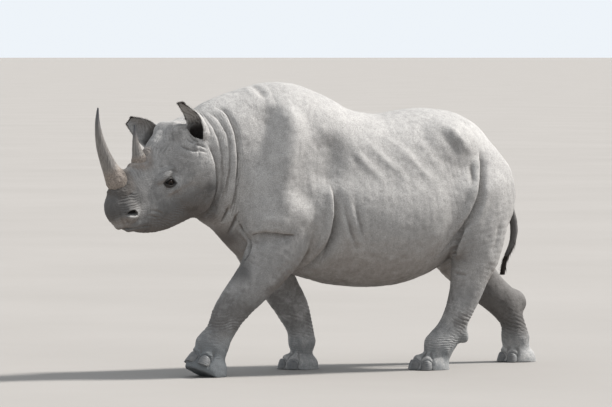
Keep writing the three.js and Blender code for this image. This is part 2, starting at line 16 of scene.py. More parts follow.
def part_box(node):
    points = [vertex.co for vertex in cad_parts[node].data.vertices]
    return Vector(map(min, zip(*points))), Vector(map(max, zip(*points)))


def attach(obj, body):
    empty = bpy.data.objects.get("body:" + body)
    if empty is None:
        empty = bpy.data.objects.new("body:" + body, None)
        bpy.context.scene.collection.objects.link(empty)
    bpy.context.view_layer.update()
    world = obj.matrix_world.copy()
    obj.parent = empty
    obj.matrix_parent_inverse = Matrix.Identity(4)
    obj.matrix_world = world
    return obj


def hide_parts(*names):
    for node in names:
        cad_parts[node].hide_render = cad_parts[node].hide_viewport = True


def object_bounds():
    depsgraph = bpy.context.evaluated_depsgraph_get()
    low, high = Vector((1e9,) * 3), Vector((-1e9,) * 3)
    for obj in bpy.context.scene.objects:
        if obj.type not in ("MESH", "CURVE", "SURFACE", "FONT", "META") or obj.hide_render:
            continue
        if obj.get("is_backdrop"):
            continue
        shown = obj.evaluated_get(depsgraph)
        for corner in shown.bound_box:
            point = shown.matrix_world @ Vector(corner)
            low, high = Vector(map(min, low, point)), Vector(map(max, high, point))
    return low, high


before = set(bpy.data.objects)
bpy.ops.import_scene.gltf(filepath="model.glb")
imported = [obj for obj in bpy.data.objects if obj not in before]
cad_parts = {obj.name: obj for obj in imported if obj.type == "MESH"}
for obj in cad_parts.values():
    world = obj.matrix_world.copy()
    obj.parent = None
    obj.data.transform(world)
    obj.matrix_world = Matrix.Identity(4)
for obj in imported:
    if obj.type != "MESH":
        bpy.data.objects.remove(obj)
CAD_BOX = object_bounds()
RNG = np.random.default_rng(7)

# ---------- frames

FAR = 1e6
LEFT = np.array([1.0, 0, 0])
HEAD_PLACE = (64.0, -1171.0, 1052.0)
HEAD_PITCH, HEAD_YAW = math.radians(30), math.radians(14)
HEAD = (
    Matrix.Translation(HEAD_PLACE)
    @ Matrix.Rotation(HEAD_YAW, 4, "Z")
    @ Matrix.Rotation(HEAD_PITCH, 4, "X")
)
HEAD_BACK = np.array(HEAD.inverted())
HEAD_TO = np.array(HEAD)
EYE = np.array([110.0, 0.0, 0.0])
EYE_RADIUS = 25.0


def unit(vectors):
    """The vectors at length 1."""
    return vectors / np.maximum(np.linalg.norm(vectors, axis=-1, keepdims=True), 1e-9)


def moved(points, matrix):
    matrix = np.asarray(matrix)
    return points @ matrix[:3, :3].T + matrix[:3, 3]


def to_head(points):
    return moved(points, HEAD_BACK)


def from_head(points):
    return moved(np.asarray(points, float), HEAD_TO)


def head_direction(x, y, z):
    return HEAD_TO[:3, :3] @ np.array([x, y, z], float)


def mirrored(h):
    """Points of the head with its right side laid over its left."""
    return np.abs(h) * (1, 0, 0) + h * (0, 1, 1)


def cad_shift():
    """From the modelling frame to the row's frame, in metres, by the left eye's centre."""
    low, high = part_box("eye_left")
    return (np.array(low) + np.array(high)) / 2 - from_head(EYE) / 1000


SHIFT = cad_shift()


def metres(points):
    return np.asarray(points) / 1000 + SHIFT


# ---------- noise

LATTICE_SIZE = 32
LATTICE = RNG.uniform(-1, 1, (LATTICE_SIZE,) * 3)


def noise(points, size, seed):
    """Smooth noise from -1 to 1 with lumps of about the given size."""
    q = points / size + 7.31 * seed
    i = np.floor(q).astype(int)
    f = q - i
    f = f * f * (3 - 2 * f)
    total = np.zeros(len(q))
    for corner in np.ndindex(2, 2, 2):
        w = np.prod(np.where(corner, f, 1 - f), axis=1)
        total += w * LATTICE[tuple(((i + corner) % LATTICE_SIZE).T)]
    return total


def ramp(x, a, b):
    """0 at a, 1 at b, smooth between."""
    t = np.clip((x - a) / (b - a), 0, 1)
    return t * t * (3 - 2 * t)


def band(x, a, b, c, d):
    """Rises from a to b and falls from c to d."""
    return ramp(x, a, b) * ramp(-x, -d, -c)


def bell(x, width):
    return np.exp(-((x / width) ** 2))


def circle(count):
    """Angles once round, without the last."""
    return np.linspace(0, 2 * np.pi, count, endpoint=False)


# ---------- smooth masses
# A mass is a function from points (N, 3) to roughly their distance from a surface.


def blend(a, b, radius):
    """The nearer of two distances, rounded where they are alike."""
    h = np.maximum(radius - np.abs(a - b), 0) / radius
    return np.minimum(a, b) - h * h * radius * 0.25


def lump(points, centre, size):
    """1 at the centre, fading over an ellipsoid of the given half sizes."""
    return bell(np.linalg.norm((points - centre) / size, axis=1), 1)


def catmull(points, t):
    """Catmull-Rom through the points, with the ends mirrored; t from 0 to 1, evenly per span."""
    p = np.asarray(points, float)
    p = np.vstack([2 * p[0] - p[1], p, 2 * p[-1] - p[-2]])
    u = np.clip(np.asarray(t, float), 0, 1) * (len(p) - 3)
    i = np.minimum(u.astype(int), len(p) - 4)
    w = (u - i)[:, None]
    p0, p1, p2, p3 = p[i], p[i + 1], p[i + 2], p[i + 3]
    m1, m2 = (p2 - p0) / 2, (p3 - p1) / 2
    return (
        (2 * w**3 - 3 * w**2 + 1) * p1
        + (w**3 - 2 * w**2 + w) * m1
        + (-2 * w**3 + 3 * w**2) * p2
        + (w**3 - w**2) * m2
    )


def within(points, low, high, margin=0):
    """The numbers of the points in a box, widened by the margin."""
    low, high = np.asarray(low, float) - margin, np.asarray(high, float) + margin
    return np.nonzero(np.all((points > low) & (points < high), axis=1))[0]


def bounded(low, high, margin, distance):
    """A mass that is worked out only round a box, and is far away elsewhere."""

    def mass(points):
        out = np.full(len(points), FAR)
        chosen = within(points, low, high, margin)
        out[chosen] = distance(points[chosen])
        return out

    return mass


def from_ellipsoid(length, scaled, depth):
    """Roughly the distance from an ellipsoid's surface, given that from its centre, plain and in
    half sizes, and the centre's own depth.
    """
    return np.where(scaled < 1e-3, -depth, length * (1 - 1 / np.maximum(scaled, 1e-3)))


def sweep(stations, steps=5):
    """Elliptical sections through stations (y, z, wide, deep, x)."""
    s = np.array([(*q, 0.0)[:5] for q in stations], float)
    centres, sizes = s[:, [4, 0, 1]], s[:, 2:4]
    count = (len(s) - 1) * steps
    t = np.linspace(0, 1, count + 1)
    c, size = catmull(centres, t), catmull(sizes, t)
    reach = sizes.max() * 1.1
    low, high = centres.min(0) - reach, centres.max(0) + reach

    def distance(p):
        best = np.full(len(p), FAR)
        for i in range(count):
            along = c[i + 1] - c[i]
            length = np.linalg.norm(along)
            along = along / length
            side = LEFT - along * along[0]
            side /= np.linalg.norm(side)
            up = np.cross(along, side)
            travel = (p - c[i]) @ along
            ends = 120 if 0 < i < count - 1 else 400
            near = np.nonzero((travel > -ends) & (travel < length + ends))[0]
            q = p[near] - c[i]
            travel = travel[near]
            w = np.clip(travel / length, 0, 1)
            wide = size[i, 0] + w * (size[i + 1, 0] - size[i, 0])
            deep = size[i, 1] + w * (size[i + 1, 1] - size[i, 1])
            beyond = travel - w * length
            across, over = q @ side, q @ up
            small = np.minimum(wide, deep)
            k = np.sqrt((across / wide) ** 2 + (over / deep) ** 2 + (beyond / small) ** 2)
            r = np.sqrt(across**2 + over**2 + beyond**2)
            best[near] = np.minimum(best[near], from_ellipsoid(r, k, small))
        return best

    return bounded(low, high, 100, distance)


def muscle(x, y, z, wide, long, tall, tilt=0.0):
    """An ellipsoid, tilted about X in degrees."""
    back = (Matrix.Translation((x, y, z)) @ Matrix.Rotation(math.radians(tilt), 4, "X")).inverted()
    centre = np.array([x, y, z], float)
    reach = max(wide, long, tall)
    small = min(wide, long, tall)
    half = np.array([wide, long, tall], float)

    def distance(p):
        q = moved(p, back)
        return from_ellipsoid(np.linalg.norm(q, axis=1), np.linalg.norm(q / half, axis=1), small)

    return bounded(centre - reach, centre + reach, 120, distance)


def both(make):
    """The same on the left (1) and the right (-1)."""
    return [make(1), make(-1)]


def join(*groups):
    """Masses blended one after another; a group's radius is a length or a function of the points."""

    def mass(points):
        d = np.full(len(points), FAR)
        for radius, *masses in groups:
            reach = radius(points) if callable(radius) else radius
            for m in masses:
                d = blend(d, m(points), reach)
        return d

    return mass


def hoop(y, top, bottom, wide, x=0.0):
    """A station of the trunk or head from the height of its top and bottom."""
    return (y, (top + bottom) / 2, wide, (top - bottom) / 2, x)


# ---------- trunk and legs

BACKBONE = sweep([
    hoop(-760, 1496, 1000, 195, 8),
    hoop(-600, 1554, 1000, 225),
    hoop(-430, 1592, 980, 252),
    hoop(-270, 1545, 950, 282),
    hoop(-140, 1478, 920, 298),
    hoop(0, 1437, 890, 308),
    hoop(200, 1414, 880, 318),
    hoop(450, 1446, 880, 308),
    hoop(600, 1424, 870, 280),
    hoop(690, 1352, 850, 226),
])

BARREL = sweep([
    hoop(-520, 1180, 600, 255),
    hoop(-330, 1270, 556, 325),
    hoop(-90, 1290, 482, 378),
    hoop(110, 1290, 455, 400),
    hoop(290, 1290, 478, 392),
    hoop(440, 1270, 556, 350),
    hoop(590, 1240, 660, 290),
])

NECK = sweep([
    hoop(-600, 1530, 720, 240),
    hoop(-740, 1500, 792, 222, 10),
    hoop(-850, 1462, 862, 200, 22),
    hoop(-930, 1430, 920, 178, 34),
])

TRUNK_MUSCLES = [
    *both(lambda s: muscle(s * 200, -480 - s * 20, 1080, 125, 210, 330, -14)),
    *both(lambda s: muscle(s * 222, -480 - s * 60, 840, 118, 175, 190)),
    *both(lambda s: muscle(s * 105, -545 - s * 20, 780, 108, 105, 175)),
    *both(lambda s: muscle(s * 165, 700, 955, 155, 270, 300, -6)),
    *both(lambda s: muscle(s * 215, 520, 1250, 85, 150, 115)),
]

LEGS = {
    "fore_left": [
        (-480, 860, 118, 190, 232),
        (-530, 700, 110, 168, 226),
        (-615, 560, 96, 128, 216),
        (-715, 445, 84, 106, 206),
        (-800, 340, 80, 90, 198),
        (-853, 240, 73, 78, 193),
        (-902, 164, 84, 92, 190),
    ],
    "fore_right": [
        (-430, 860, 118, 168, -232),
        (-420, 700, 110, 148, -226),
        (-368, 560, 96, 122, -214),
        (-286, 430, 84, 104, -202),
        (-222, 318, 80, 90, -192),
        (-187, 220, 72, 72, -186),
        (-177, 150, 82, 74, -182),
    ],
    "hind_left": [
        (640, 960, 150, 255, 205),
        (680, 790, 140, 218, 212),
        (700, 650, 118, 152, 213),
        (672, 520, 98, 110, 208),
        (638, 400, 85, 86, 201),
        (592, 290, 80, 74, 197),
        (548, 205, 76, 76, 195),
        (484, 130, 84, 84, 193),
    ],
    "hind_right": [
        (680, 960, 150, 245, -205),
        (740, 790, 140, 205, -212),
        (800, 655, 118, 160, -213),
        (890, 530, 96, 128, -208),
        (1005, 420, 83, 103, -202),
        (1108, 330, 78, 92, -199),
        (1160, 225, 70, 68, -198),
        (1180, 135, 82, 80, -197),
    ],
}

# Each foot: the sole's centre x, y, its turn, how far the toes are lifted, and its size.
FEET = {
    "fore_left": (190, -942, 4, 24, 1.0),
    "fore_right": (-180, -197, -4, 0, 0.94),
    "hind_left": (192, 430, 4, 0, 0.94),
    "hind_right": (-196, 1190, -4, 0, 0.92),
}
FOOT_HALF_WIDTH, FOOT_HALF_LENGTH, FOOT_HEIGHT, HEEL = 105, 120, 130, 95

TAIL = sweep([
    (820, 1230, 42, 42),
    (945, 1130, 34, 34),
    (1002, 960, 27.6, 27.6),
    (1058, 800, 22.5, 22.5),
    (1056, 700, 18, 18),
    (1016, 612, 14, 14),
])

HOCKS = [
    muscle(200, 616, 196, 42, 36, 60, 34),
    muscle(-200, 1195, 350, 42, 45, 62, 35),
]


def foot_frame(name):
    """Where a foot stands, turned, with its toes lifted about its heel."""
    x, y, turn, lift, _ = FEET[name]
    return (
        Matrix.Translation((x, y, 0))
        @ Matrix.Rotation(math.radians(turn), 4, "Z")
        @ Matrix.Translation((0, HEEL, 0))
        @ Matrix.Rotation(-math.radians(lift), 4, "X")
        @ Matrix.Translation((0, -HEEL, 0))
    )


def foot_mass(name):
    """A rounded drum, narrower at its top, with a flat sole."""
    back = foot_frame(name).inverted()
    x, y, _, _, size = FEET[name]
    low, high = (x - 130, y - 150, -60), (x + 130, y + 150, 260)

    def distance(p):
        q = moved(p, back)
        spread = size * (1 - 0.2 * np.clip(q[:, 2] / FOOT_HEIGHT, 0, 1))
        k = np.hypot(q[:, 0] / (FOOT_HALF_WIDTH * spread), q[:, 1] / (FOOT_HALF_LENGTH * spread))
        wall = from_ellipsoid(np.hypot(q[:, 0], q[:, 1]), k, FOOT_HALF_WIDTH)
        top = -blend(-wall, FOOT_HEIGHT * 0.62 - q[:, 2], 60)
        return np.maximum(top, -q[:, 2] - 30)

    return bounded(low, high, 60, distance)


# ---------- head

SKULL = join(
    [30,
        sweep([
            hoop(300, 225, -170, 138),
            hoop(215, 244, -245, 138),
            hoop(110, 208, -284, 124),
            hoop(0, 180, -268, 108),
            hoop(-110, 180, -226, 90),
            hoop(-200, 172, -166, 80),
            hoop(-262, 140, -112, 74),
            hoop(-298, 116, -70, 66),
        ]),
        *both(lambda s: muscle(s * 50, 215, 190, 60, 58, 54)),
        *both(lambda s: muscle(s * 88, 150, -105, 60, 128, 138)),
        *both(lambda s: muscle(s * 88, 90, -22, 46, 120, 34, 12)),
    ],
    [24,
        *both(lambda s: muscle(s * 84, 5, 46, 40, 66, 30, 8)),
        *both(lambda s: muscle(s * 62, -270, -12, 34, 50, 56)),
        muscle(0, -314, 0, 50, 56, 70),
        muscle(0, -232, -112, 54, 82, 34),
    ],
)


HEAD_MASS = bounded((-200, -1560, 640), (330, -720, 1420), 60, lambda p: SKULL(to_head(p)))


def leg_blend(points):
    """Legs run softly into the shoulder and croup, and meet the belly at a crease."""
    return 14 + 46 * ramp(points[:, 2], 720, 900)


FLESH = join(
    [90, BACKBONE, BARREL],
    [70, *TRUNK_MUSCLES, NECK],
    [50, HEAD_MASS],
    [leg_blend, *[sweep(s) for s in LEGS.values()]],
    [40, *HOCKS],
    [45, *[foot_mass(name) for name in FEET]],
    [20, TAIL],
)


def body(points):
    return np.maximum(FLESH(points), -points[:, 2])


# ---------- meshes from masses


def surface_net(mass, low, high, step, coarse=4):
    """One vertex for each cell that the surface crosses; returns points and quads."""
    blocks = np.ceil((high - low) / (step * coarse)).astype(int)
    n = blocks * coarse + 1
    rough = np.stack(np.meshgrid(*[np.arange(m + 1) for m in blocks], indexing="ij"), -1)
    value = mass(low + rough.reshape(-1, 3) * (step * coarse)).reshape(blocks + 1)
    near = np.abs(value) < step * coarse * 1.8
    for axis in range(3):
        near |= np.roll(near, 1, axis) | np.roll(near, -1, axis)
    to_rough = np.ix_(*[np.arange(m) // coarse for m in n])
    field = np.where(value < 0, -FAR, FAR)[to_rough]
    index = np.argwhere(near[to_rough])
    field[tuple(index.T)] = mass(low + index * step)
    inside = field < 0
    corners = [(i, j, k) for i in (0, 1) for j in (0, 1) for k in (0, 1)]
    first = inside[:-1, :-1, :-1]
    mixed = np.zeros(n - 1, bool)
    for i, j, k in corners[1:]:
        mixed |= inside[i : n[0] - 1 + i, j : n[1] - 1 + j, k : n[2] - 1 + k] != first
    cells = np.argwhere(mixed)
    total, count = np.zeros((len(cells), 3)), np.zeros(len(cells))
    for a in corners:
        for axis in range(3):
            if a[axis]:
                continue
            b = [1 if q == axis else a[q] for q in range(3)]
            va, vb = field[tuple((cells + a).T)], field[tuple((cells + b).T)]
            cut = (va < 0) != (vb < 0)
            spot = cells + np.array(a, float)
            spot[:, axis] += np.where(cut, va / np.where(cut, va - vb, 1), 0)
            total[cut] += spot[cut]
            count[cut] += 1
    number = np.full(mixed.shape, -1)
    number[tuple(cells.T)] = np.arange(len(cells))
    quads = []
    for axis in range(3):
        u, v = (axis + 1) % 3, (axis + 2) % 3
        ahead = tuple(slice(1, None) if q == axis else slice(None) for q in range(3))
        behind = tuple(slice(None, -1) if q == axis else slice(None) for q in range(3))
        edge = np.argwhere(inside[ahead] != inside[behind])
        keep = (edge[:, u] > 0) & (edge[:, v] > 0)
        keep &= (edge[:, u] < n[u] - 1) & (edge[:, v] < n[v] - 1)
        edge = edge[keep]
        eu, ev = np.eye(3, dtype=int)[u], np.eye(3, dtype=int)[v]
        ring = np.stack([number[tuple((edge - o).T)] for o in (eu + ev, ev, 0 * eu, eu)], 1)
        turned = ~inside[tuple(edge.T)]
        ring[turned] = ring[turned][:, ::-1]
        quads.append(ring)
    return low + total / count[:, None] * step, np.vstack(quads)


def triangles_of(quads):
    return np.vstack([quads[:, [0, 1, 2]], quads[:, [0, 2, 3]]])


def edges_of(tris):
    """Unique edges, and for each triangle the numbers of its three edges."""
    pairs = np.sort(np.vstack([tris[:, [0, 1]], tris[:, [1, 2]], tris[:, [2, 0]]]), axis=1)
    key = pairs[:, 0].astype(np.int64) * (pairs.max() + 1) + pairs[:, 1]
    _, first, inverse = np.unique(key, return_index=True, return_inverse=True)
    return pairs[first], inverse.reshape(3, -1).T


def refine(points, tris, chosen=None):
    """Splits the chosen triangles in four, and their neighbours so that no gap opens."""
    edges, of = edges_of(tris)
    split = np.zeros(len(edges), bool)
    split[of[chosen].ravel() if chosen is not None else of.ravel()] = True
    middle = np.full(len(edges), -1)
    middle[split] = len(points) + np.arange(split.sum())
    points = np.vstack([points, points[edges[split]].mean(1)])
    mids = middle[of]
    cut = mids >= 0
    number = cut.sum(1)
    out = [tris[number == 0]]
    t, m = tris[number == 3], mids[number == 3]
    out += [
        np.stack([t[:, 0], m[:, 0], m[:, 2]], 1),
        np.stack([t[:, 1], m[:, 1], m[:, 0]], 1),
        np.stack([t[:, 2], m[:, 2], m[:, 1]], 1),
        m,
    ]
    for k in range(3):
        a, b, c = k, (k + 1) % 3, (k + 2) % 3
        one = (number == 1) & cut[:, a]
        t, m = tris[one], mids[one]
        out += [
            np.stack([t[:, a], m[:, a], t[:, c]], 1),
            np.stack([m[:, a], t[:, b], t[:, c]], 1),
        ]
        two = (number == 2) & ~cut[:, c]
        t, m = tris[two], mids[two]
        out += [
            np.stack([t[:, b], m[:, b], m[:, a]], 1),
            np.stack([t[:, a], m[:, a], m[:, b]], 1),
            np.stack([t[:, a], m[:, b], t[:, c]], 1),
        ]
    return points, np.vstack(out)


def face_vectors(points, tris):
    """Across each triangle, with a length of twice its area."""
    a, b, c = (points[tris[:, k]] for k in range(3))
    return np.cross(b - a, c - a)


def normals_of(points, tris):
    """Each point's normal, from the triangles round it."""
    face = face_vectors(points, tris)
    out = np.zeros_like(points)
    for k in range(3):
        for axis in range(3):
            out[:, axis] += np.bincount(tris[:, k], face[:, axis], len(points))
    return unit(out)


def averages(values, edges):
    """The mean of each vertex's neighbours."""
    a, b = edges[:, 0], edges[:, 1]
    count = np.bincount(a, minlength=len(values)) + np.bincount(b, minlength=len(values))
    flat = values.reshape(len(values), -1)
    out = np.stack(
        [
            np.bincount(a, flat[b, k], len(values)) + np.bincount(b, flat[a, k], len(values))
            for k in range(flat.shape[1])
        ],
        1,
    )
    return (out / np.maximum(count, 1)[:, None]).reshape(values.shape)


def smoothed(values, edges, rounds, amount):
    for _ in range(rounds):
        step = averages(values, edges) - values
        values = values + amount * step
    return values


def settled(mass, points, tris, rounds, slide=0.0):
    """Points drawn onto the surface, and evened out along it."""
    edges = edges_of(tris)[0] if slide else None
    for _ in range(rounds):
        normal = normals_of(points, tris)
        if slide:
            step = (averages(points, edges) - points) * slide
            points = points + step - normal * (step * normal).sum(1, keepdims=True)
        points = points - normal * np.clip(mass(points) * 0.9, -15, 15)[:, None]
    return points


def mesh_object(name, points, faces, materials=()):
    """A mesh object from points in metres and faces of equal size."""
    mesh = bpy.data.meshes.new(name)
    faces = np.asarray(faces, np.int32)
    sides = faces.shape[1]
    mesh.vertices.add(len(points))
    mesh.vertices.foreach_set("co", np.asarray(points, np.float32).ravel())
    mesh.loops.add(faces.size)
    mesh.loops.foreach_set("vertex_index", faces.ravel())
    mesh.polygons.add(len(faces))
    mesh.polygons.foreach_set("loop_start", np.arange(len(faces), dtype=np.int32) * sides)
    mesh.polygons.foreach_set("use_smooth", np.ones(len(faces), bool))
    mesh.update(calc_edges=True)
    mesh.validate()
    for m in materials:
        mesh.materials.append(m)
    ob = bpy.data.objects.new(name, mesh)
    bpy.context.scene.collection.objects.link(ob)
    return ob


def grid_faces(rows, columns):
    """Quads over rows of points, each row a ring."""
    i = np.arange(rows - 1)[:, None] * columns
    j = np.arange(columns)[None, :]
    k = (j + 1) % columns
    return np.stack([i + j, i + k, i + columns + k, i + columns + j], -1).reshape(-1, 4)


def volume(points, tris):
    a, b, c = (points[tris[:, k]] for k in range(3))
    return (a * np.cross(b, c)).sum() / 6


def closed_tube(rings):
    """Points and outward triangles over rings (rows, columns, 3), with both ends closed."""
    rows, columns = rings.shape[:2]
    points = np.vstack([rings.reshape(-1, 3), rings[0].mean(0), rings[-1].mean(0)])
    j = np.arange(columns)
    k = (j + 1) % columns
    last = (rows - 1) * columns
    foot = np.stack([k, j, np.full(columns, rows * columns)], 1)
    end = np.stack([last + j, last + k, np.full(columns, rows * columns + 1)], 1)
    tris = np.vstack([triangles_of(grid_faces(rows, columns)), foot, end])
    if volume(points, tris) < 0:
        tris = tris[:, ::-1]
    return points, tris


# ---------- ears

EAR_WALL = 9

# Root and tip in the head's frame, the way the cup opens, its length, a factor on its breadth, and
# how much further its tip leans over the opening.
EARS = {
    "left": {"root": (140, 296, 66), "tip": (150, 338, 344), "mouth": (0.15, -1, 0),
             "length": 275, "breadth": 0.85, "lean": 82},
    "right": {"root": (-128, 255, 72), "tip": (-290, 182, 300), "mouth": (0.62, -0.72, 0.3),
              "length": 255, "breadth": 1, "lean": 0},
}


def ear_frame(spec):
    """An ear's own frame: x across it, y to its rear wall and z from root to tip."""
    root, tip = np.array(spec["root"], float), np.array(spec["tip"], float)
    up = (tip - root) / np.linalg.norm(tip - root)
    rear = -np.array(spec["mouth"], float)
    rear -= up * (rear @ up)
    rear /= np.linalg.norm(rear)
    m = np.eye(4)
    m[:3, 0], m[:3, 1], m[:3, 2], m[:3, 3] = np.cross(rear, up), rear, up, root
    return HEAD_TO @ m


def to_ear(spec, points):
    return moved(points, np.linalg.inv(ear_frame(spec)))


def ear_section(spec, t):
    """Radius, middle, half angle and thickness of the ear's wall, at t up its length."""
    width = spec["breadth"] * (30 + 42 * np.sin(np.pi * np.minimum(1, 0.06 + t * 0.88)) - 12 * t * t)
    shut = np.radians(150 - 85 * np.minimum(1, t * 1.5))
    radius = width / np.sin(np.minimum(shut, np.pi / 2))
    back = 28 + 20 * np.sin(np.pi * t) - (26 + spec["lean"]) * t * t
    return radius, back - radius, shut, EAR_WALL * (1.5 - 0.6 * t)


def ear_point(spec, t, a, depth):
    """A point of the ear's wall in its own frame: t up it, a from rim to rim (-1 to 1)."""
    radius, middle, shut, _ = ear_section(spec, t)
    r = radius - depth
    angle = a * shut
    return np.stack([r * np.sin(angle), middle + r * np.cos(angle), t * spec["length"] + 0 * a], -1)


def ear_mesh(spec, rings=46, around=34):
    """A cupped wall, open to the ear's mouth, as a closed mesh."""
    t = np.linspace(0, 1, rings + 1)[:, None]
    a = np.linspace(-1, 1, around + 1)[None, :]
    wall = ear_section(spec, t)[3] * (1 - 0.45 * np.abs(a) ** 6)
    outer = ear_point(spec, t, a, 0 * t * a)
    inner = ear_point(spec, t, a * 0.985, wall)
    ring = np.concatenate([outer, inner[:, ::-1]], axis=1)[:, ::-1]
    rows, side = ring.shape[:2]
    points = ring.reshape(-1, 3)
    tris = triangles_of(grid_faces(rows, side))
    caps = []
    for base, turned in ((0, True), ((rows - 1) * side, False)):
        half = side // 2
        for q in range(half - 1):
            ring4 = [base + q, base + q + 1, base + side - 2 - q, base + side - 1 - q]
            caps.append(ring4[::-1] if turned else ring4)
    tris = np.vstack([tris, triangles_of(np.array(caps))])
    return moved(points, ear_frame(spec)), tris


def ear_hollow(spec, rings=40, around=40):
    """What is cut from the head for the foot of the ear's cup, close to the rear wall."""
    t = np.linspace(0.015, 0.62, rings)[:, None]
    radius, middle, _, wall = ear_section(spec, t)
    room = radius - wall - 1.2
    reach = room * np.sqrt(ramp(t, 0.0, 0.14)) * (1 - 0.55 * ramp(t, 0.3, 0.62))
    a = circle(around)[None, :]
    back = middle + (room - reach) * ramp(t, 0.1, 0.3)
    ring = np.stack([reach * np.sin(a), back + reach * np.cos(a), t * spec["length"] + 0 * a], -1)
    points, tris = closed_tube(ring)
    return moved(points, ear_frame(spec)), tris


def read_mesh(mesh):
    mesh.calc_loop_triangles()
    co = np.empty(len(mesh.vertices) * 3, np.float32)
    mesh.vertices.foreach_get("co", co)
    tris = np.empty(len(mesh.loop_triangles) * 3, np.int32)
    mesh.loop_triangles.foreach_get("vertices", tris)
    return co.reshape(-1, 3).astype(float), tris.reshape(-1, 3)


def united(first, added, cut):
    """A closed mesh (points, triangles) with others added to it and then others cut from it."""
    base = mesh_object("union", first[0] / 1000, first[1])
    tools = []
    for operation, others in (("UNION", added), ("DIFFERENCE", cut)):
        for points, tris in others:
            tool = mesh_object("tool", points / 1000, tris)
            tools.append(tool)
            mod = base.modifiers.new("join", "BOOLEAN")
            mod.operation, mod.object, mod.solver = operation, tool, "MANIFOLD"
    shown = base.evaluated_get(bpy.context.evaluated_depsgraph_get())
    points, tris = read_mesh(shown.to_mesh())
    shown.to_mesh_clear()
    for ob in [base, *tools]:
        bpy.data.objects.remove(ob)
    return points * 1000, tris


# ---------- lines drawn on the body

ON_FLANK = {}  # lines already found on the body


def flank_points(line, side):
    """Points on the body's side from (y, z) pairs, from the front or top to the rear or foot."""
    key = (side, *line)
    if key in ON_FLANK:
        return ON_FLANK[key]
    line = catmull(np.array(line, float), np.linspace(0, 1, 9 * len(line)))
    x = np.arange(456, 0, -12.0)
    p = np.zeros((len(line), len(x), 3))
    p[..., 0] = x * side
    p[..., 1:] = line[:, None, :]
    d = body(p.reshape(-1, 3)).reshape(p.shape[:2])
    inside = d < 0
    k = np.where(inside.any(1), inside.argmax(1), len(x) - 1)
    k0 = np.maximum(k - 1, 0)
    rows = np.arange(len(line))
    d0, d1 = d[rows, k0], d[rows, k]
    w = np.where(d0 > 0, d0 / np.maximum(d0 - d1, 1e-6), 0)
    out = p[rows, k0] * (1 - w[:, None]) + p[rows, k] * w[:, None]
    ON_FLANK[key] = out[inside.any(1)]
    return ON_FLANK[key]


def along_line(points, normals, line, reach):
    """For the points near a line: their numbers, how far across and along it they lie, their
    normals, the direction across it, and from 0 to 1 how far they face as the line does.
    """
    chosen = within(points, line.min(0), line.max(0), reach)
    p = points[chosen]
    best, nearest = np.full(len(p), np.inf), np.zeros(len(p), int)
    for i, q in enumerate(line):
        d = ((p - q) ** 2).sum(1)
        better = d < best
        best[better], nearest[better] = d[better], i
    close = best < reach**2
    chosen, p, nearest = chosen[close], p[close], nearest[close]
    tangent = unit(np.gradient(line, axis=0))
    facing = np.stack([normals[chosen[((p - q) ** 2).sum(1).argmin()]] for q in line])
    n, t = normals[chosen], tangent[nearest]
    same_face = ramp((n * facing[nearest]).sum(1), -0.35, 0.15)
    across = unit(np.cross(n, t))
    offset = p - line[nearest]
    step = (offset * t).sum(1)
    length = np.r_[0, np.cumsum(np.linalg.norm(np.diff(line, axis=0), axis=1))]
    u = (length[nearest] + step) / length[-1]
    flat = offset - n * (offset * n).sum(1, keepdims=True)
    s = (flat * across).sum(1)
    return chosen, s, u, n, across, same_face


# ---------- pressing folds into the skin


class Sculpt:
    """The skin's points while folds are pressed into them."""

    def __init__(self, points, tris):
        self.points, self.tris = points, tris
        self.edges = edges_of(tris)[0]
        self.refresh()

    def refresh(self):
        self.normals = normals_of(self.points, self.tris)

    def stroke(self, line, side, reach, shape, ends):
        """shape(s, u) gives how far out and how far across the line the skin moves."""
        chosen, s, u, n, across, same_face = along_line(self.points, self.normals, line, reach)
        if side < 0:
            s, across = -s, -across
        out, over = shape(s, np.clip(u, 0, 1))
        fade = ramp(u, -0.01, ends) * ramp(1 - u, -0.01, ends)
        fade = fade * ramp(reach - np.abs(s), 0, reach * 0.3) * same_face
        self.points[chosen] += n * (out * fade)[:, None] + across * (over * fade)[:, None]

    def push(self, amount, chosen=slice(None)):
        self.points[chosen] += self.normals[chosen] * amount[:, None]

    def furrows(self, chosen, field, wavelength, depth, share):
        """Rounded rolls with narrow valleys wherever the field passes a multiple."""
        valley = np.abs(np.sin(np.pi * field / wavelength)) ** 0.7
        self.push(depth * share * (valley - 0.8), chosen)

    def even(self, share, rounds, amount=0.5):
        """Smooths the points where share (0 to 1) says."""
        for _ in range(rounds):
            step = averages(self.points, self.edges) - self.points
            self.points += step * (amount * share)[:, None]
        self.refresh()


def turned(points, tris, around):
    """The triangles that face against the skin round them."""
    face = unit(face_vectors(points, tris))
    return tris[(face * around[tris].mean(1)).sum(1) < 0.1]


def mend(s, rounds=8):
    """Evens the small places where folding has turned triangles over."""
    edges = s.edges
    around = smoothed(s.normals, edges, 3, 0.9)
    torn = turned(s.points, s.tris, around)
    near = np.zeros(len(s.points), bool)
    near[torn] = True
    for _ in range(6):
        near[edges[near[edges].any(1)]] = True
    edges = edges[near[edges].all(1)]
    tris = s.tris[near[s.tris].all(1)]
    for _ in range(rounds):
        share = np.zeros(len(s.points))
        share[torn] = 1
        share = np.minimum(4 * smoothed(share, edges, 4, 0.8), 0.7)
        for _ in range(5):
            s.points += (averages(s.points, edges) - s.points) * share[:, None]
        torn = turned(s.points, tris, around)
    s.refresh()


def crease(depth, width, lip):
    """A valley with rounded banks."""

    def shape(s, u):
        bank = lip * (bell(s - width * 1.8, width * 1.5) + bell(s + width * 1.8, width * 1.5))
        return bank - depth * bell(s, width), 0 * s

    return shape


def ridge(height, width):
    """A rounded rise, or a hollow where the height is below 0."""
    return lambda s, u: (height * bell(s, width), 0 * s)


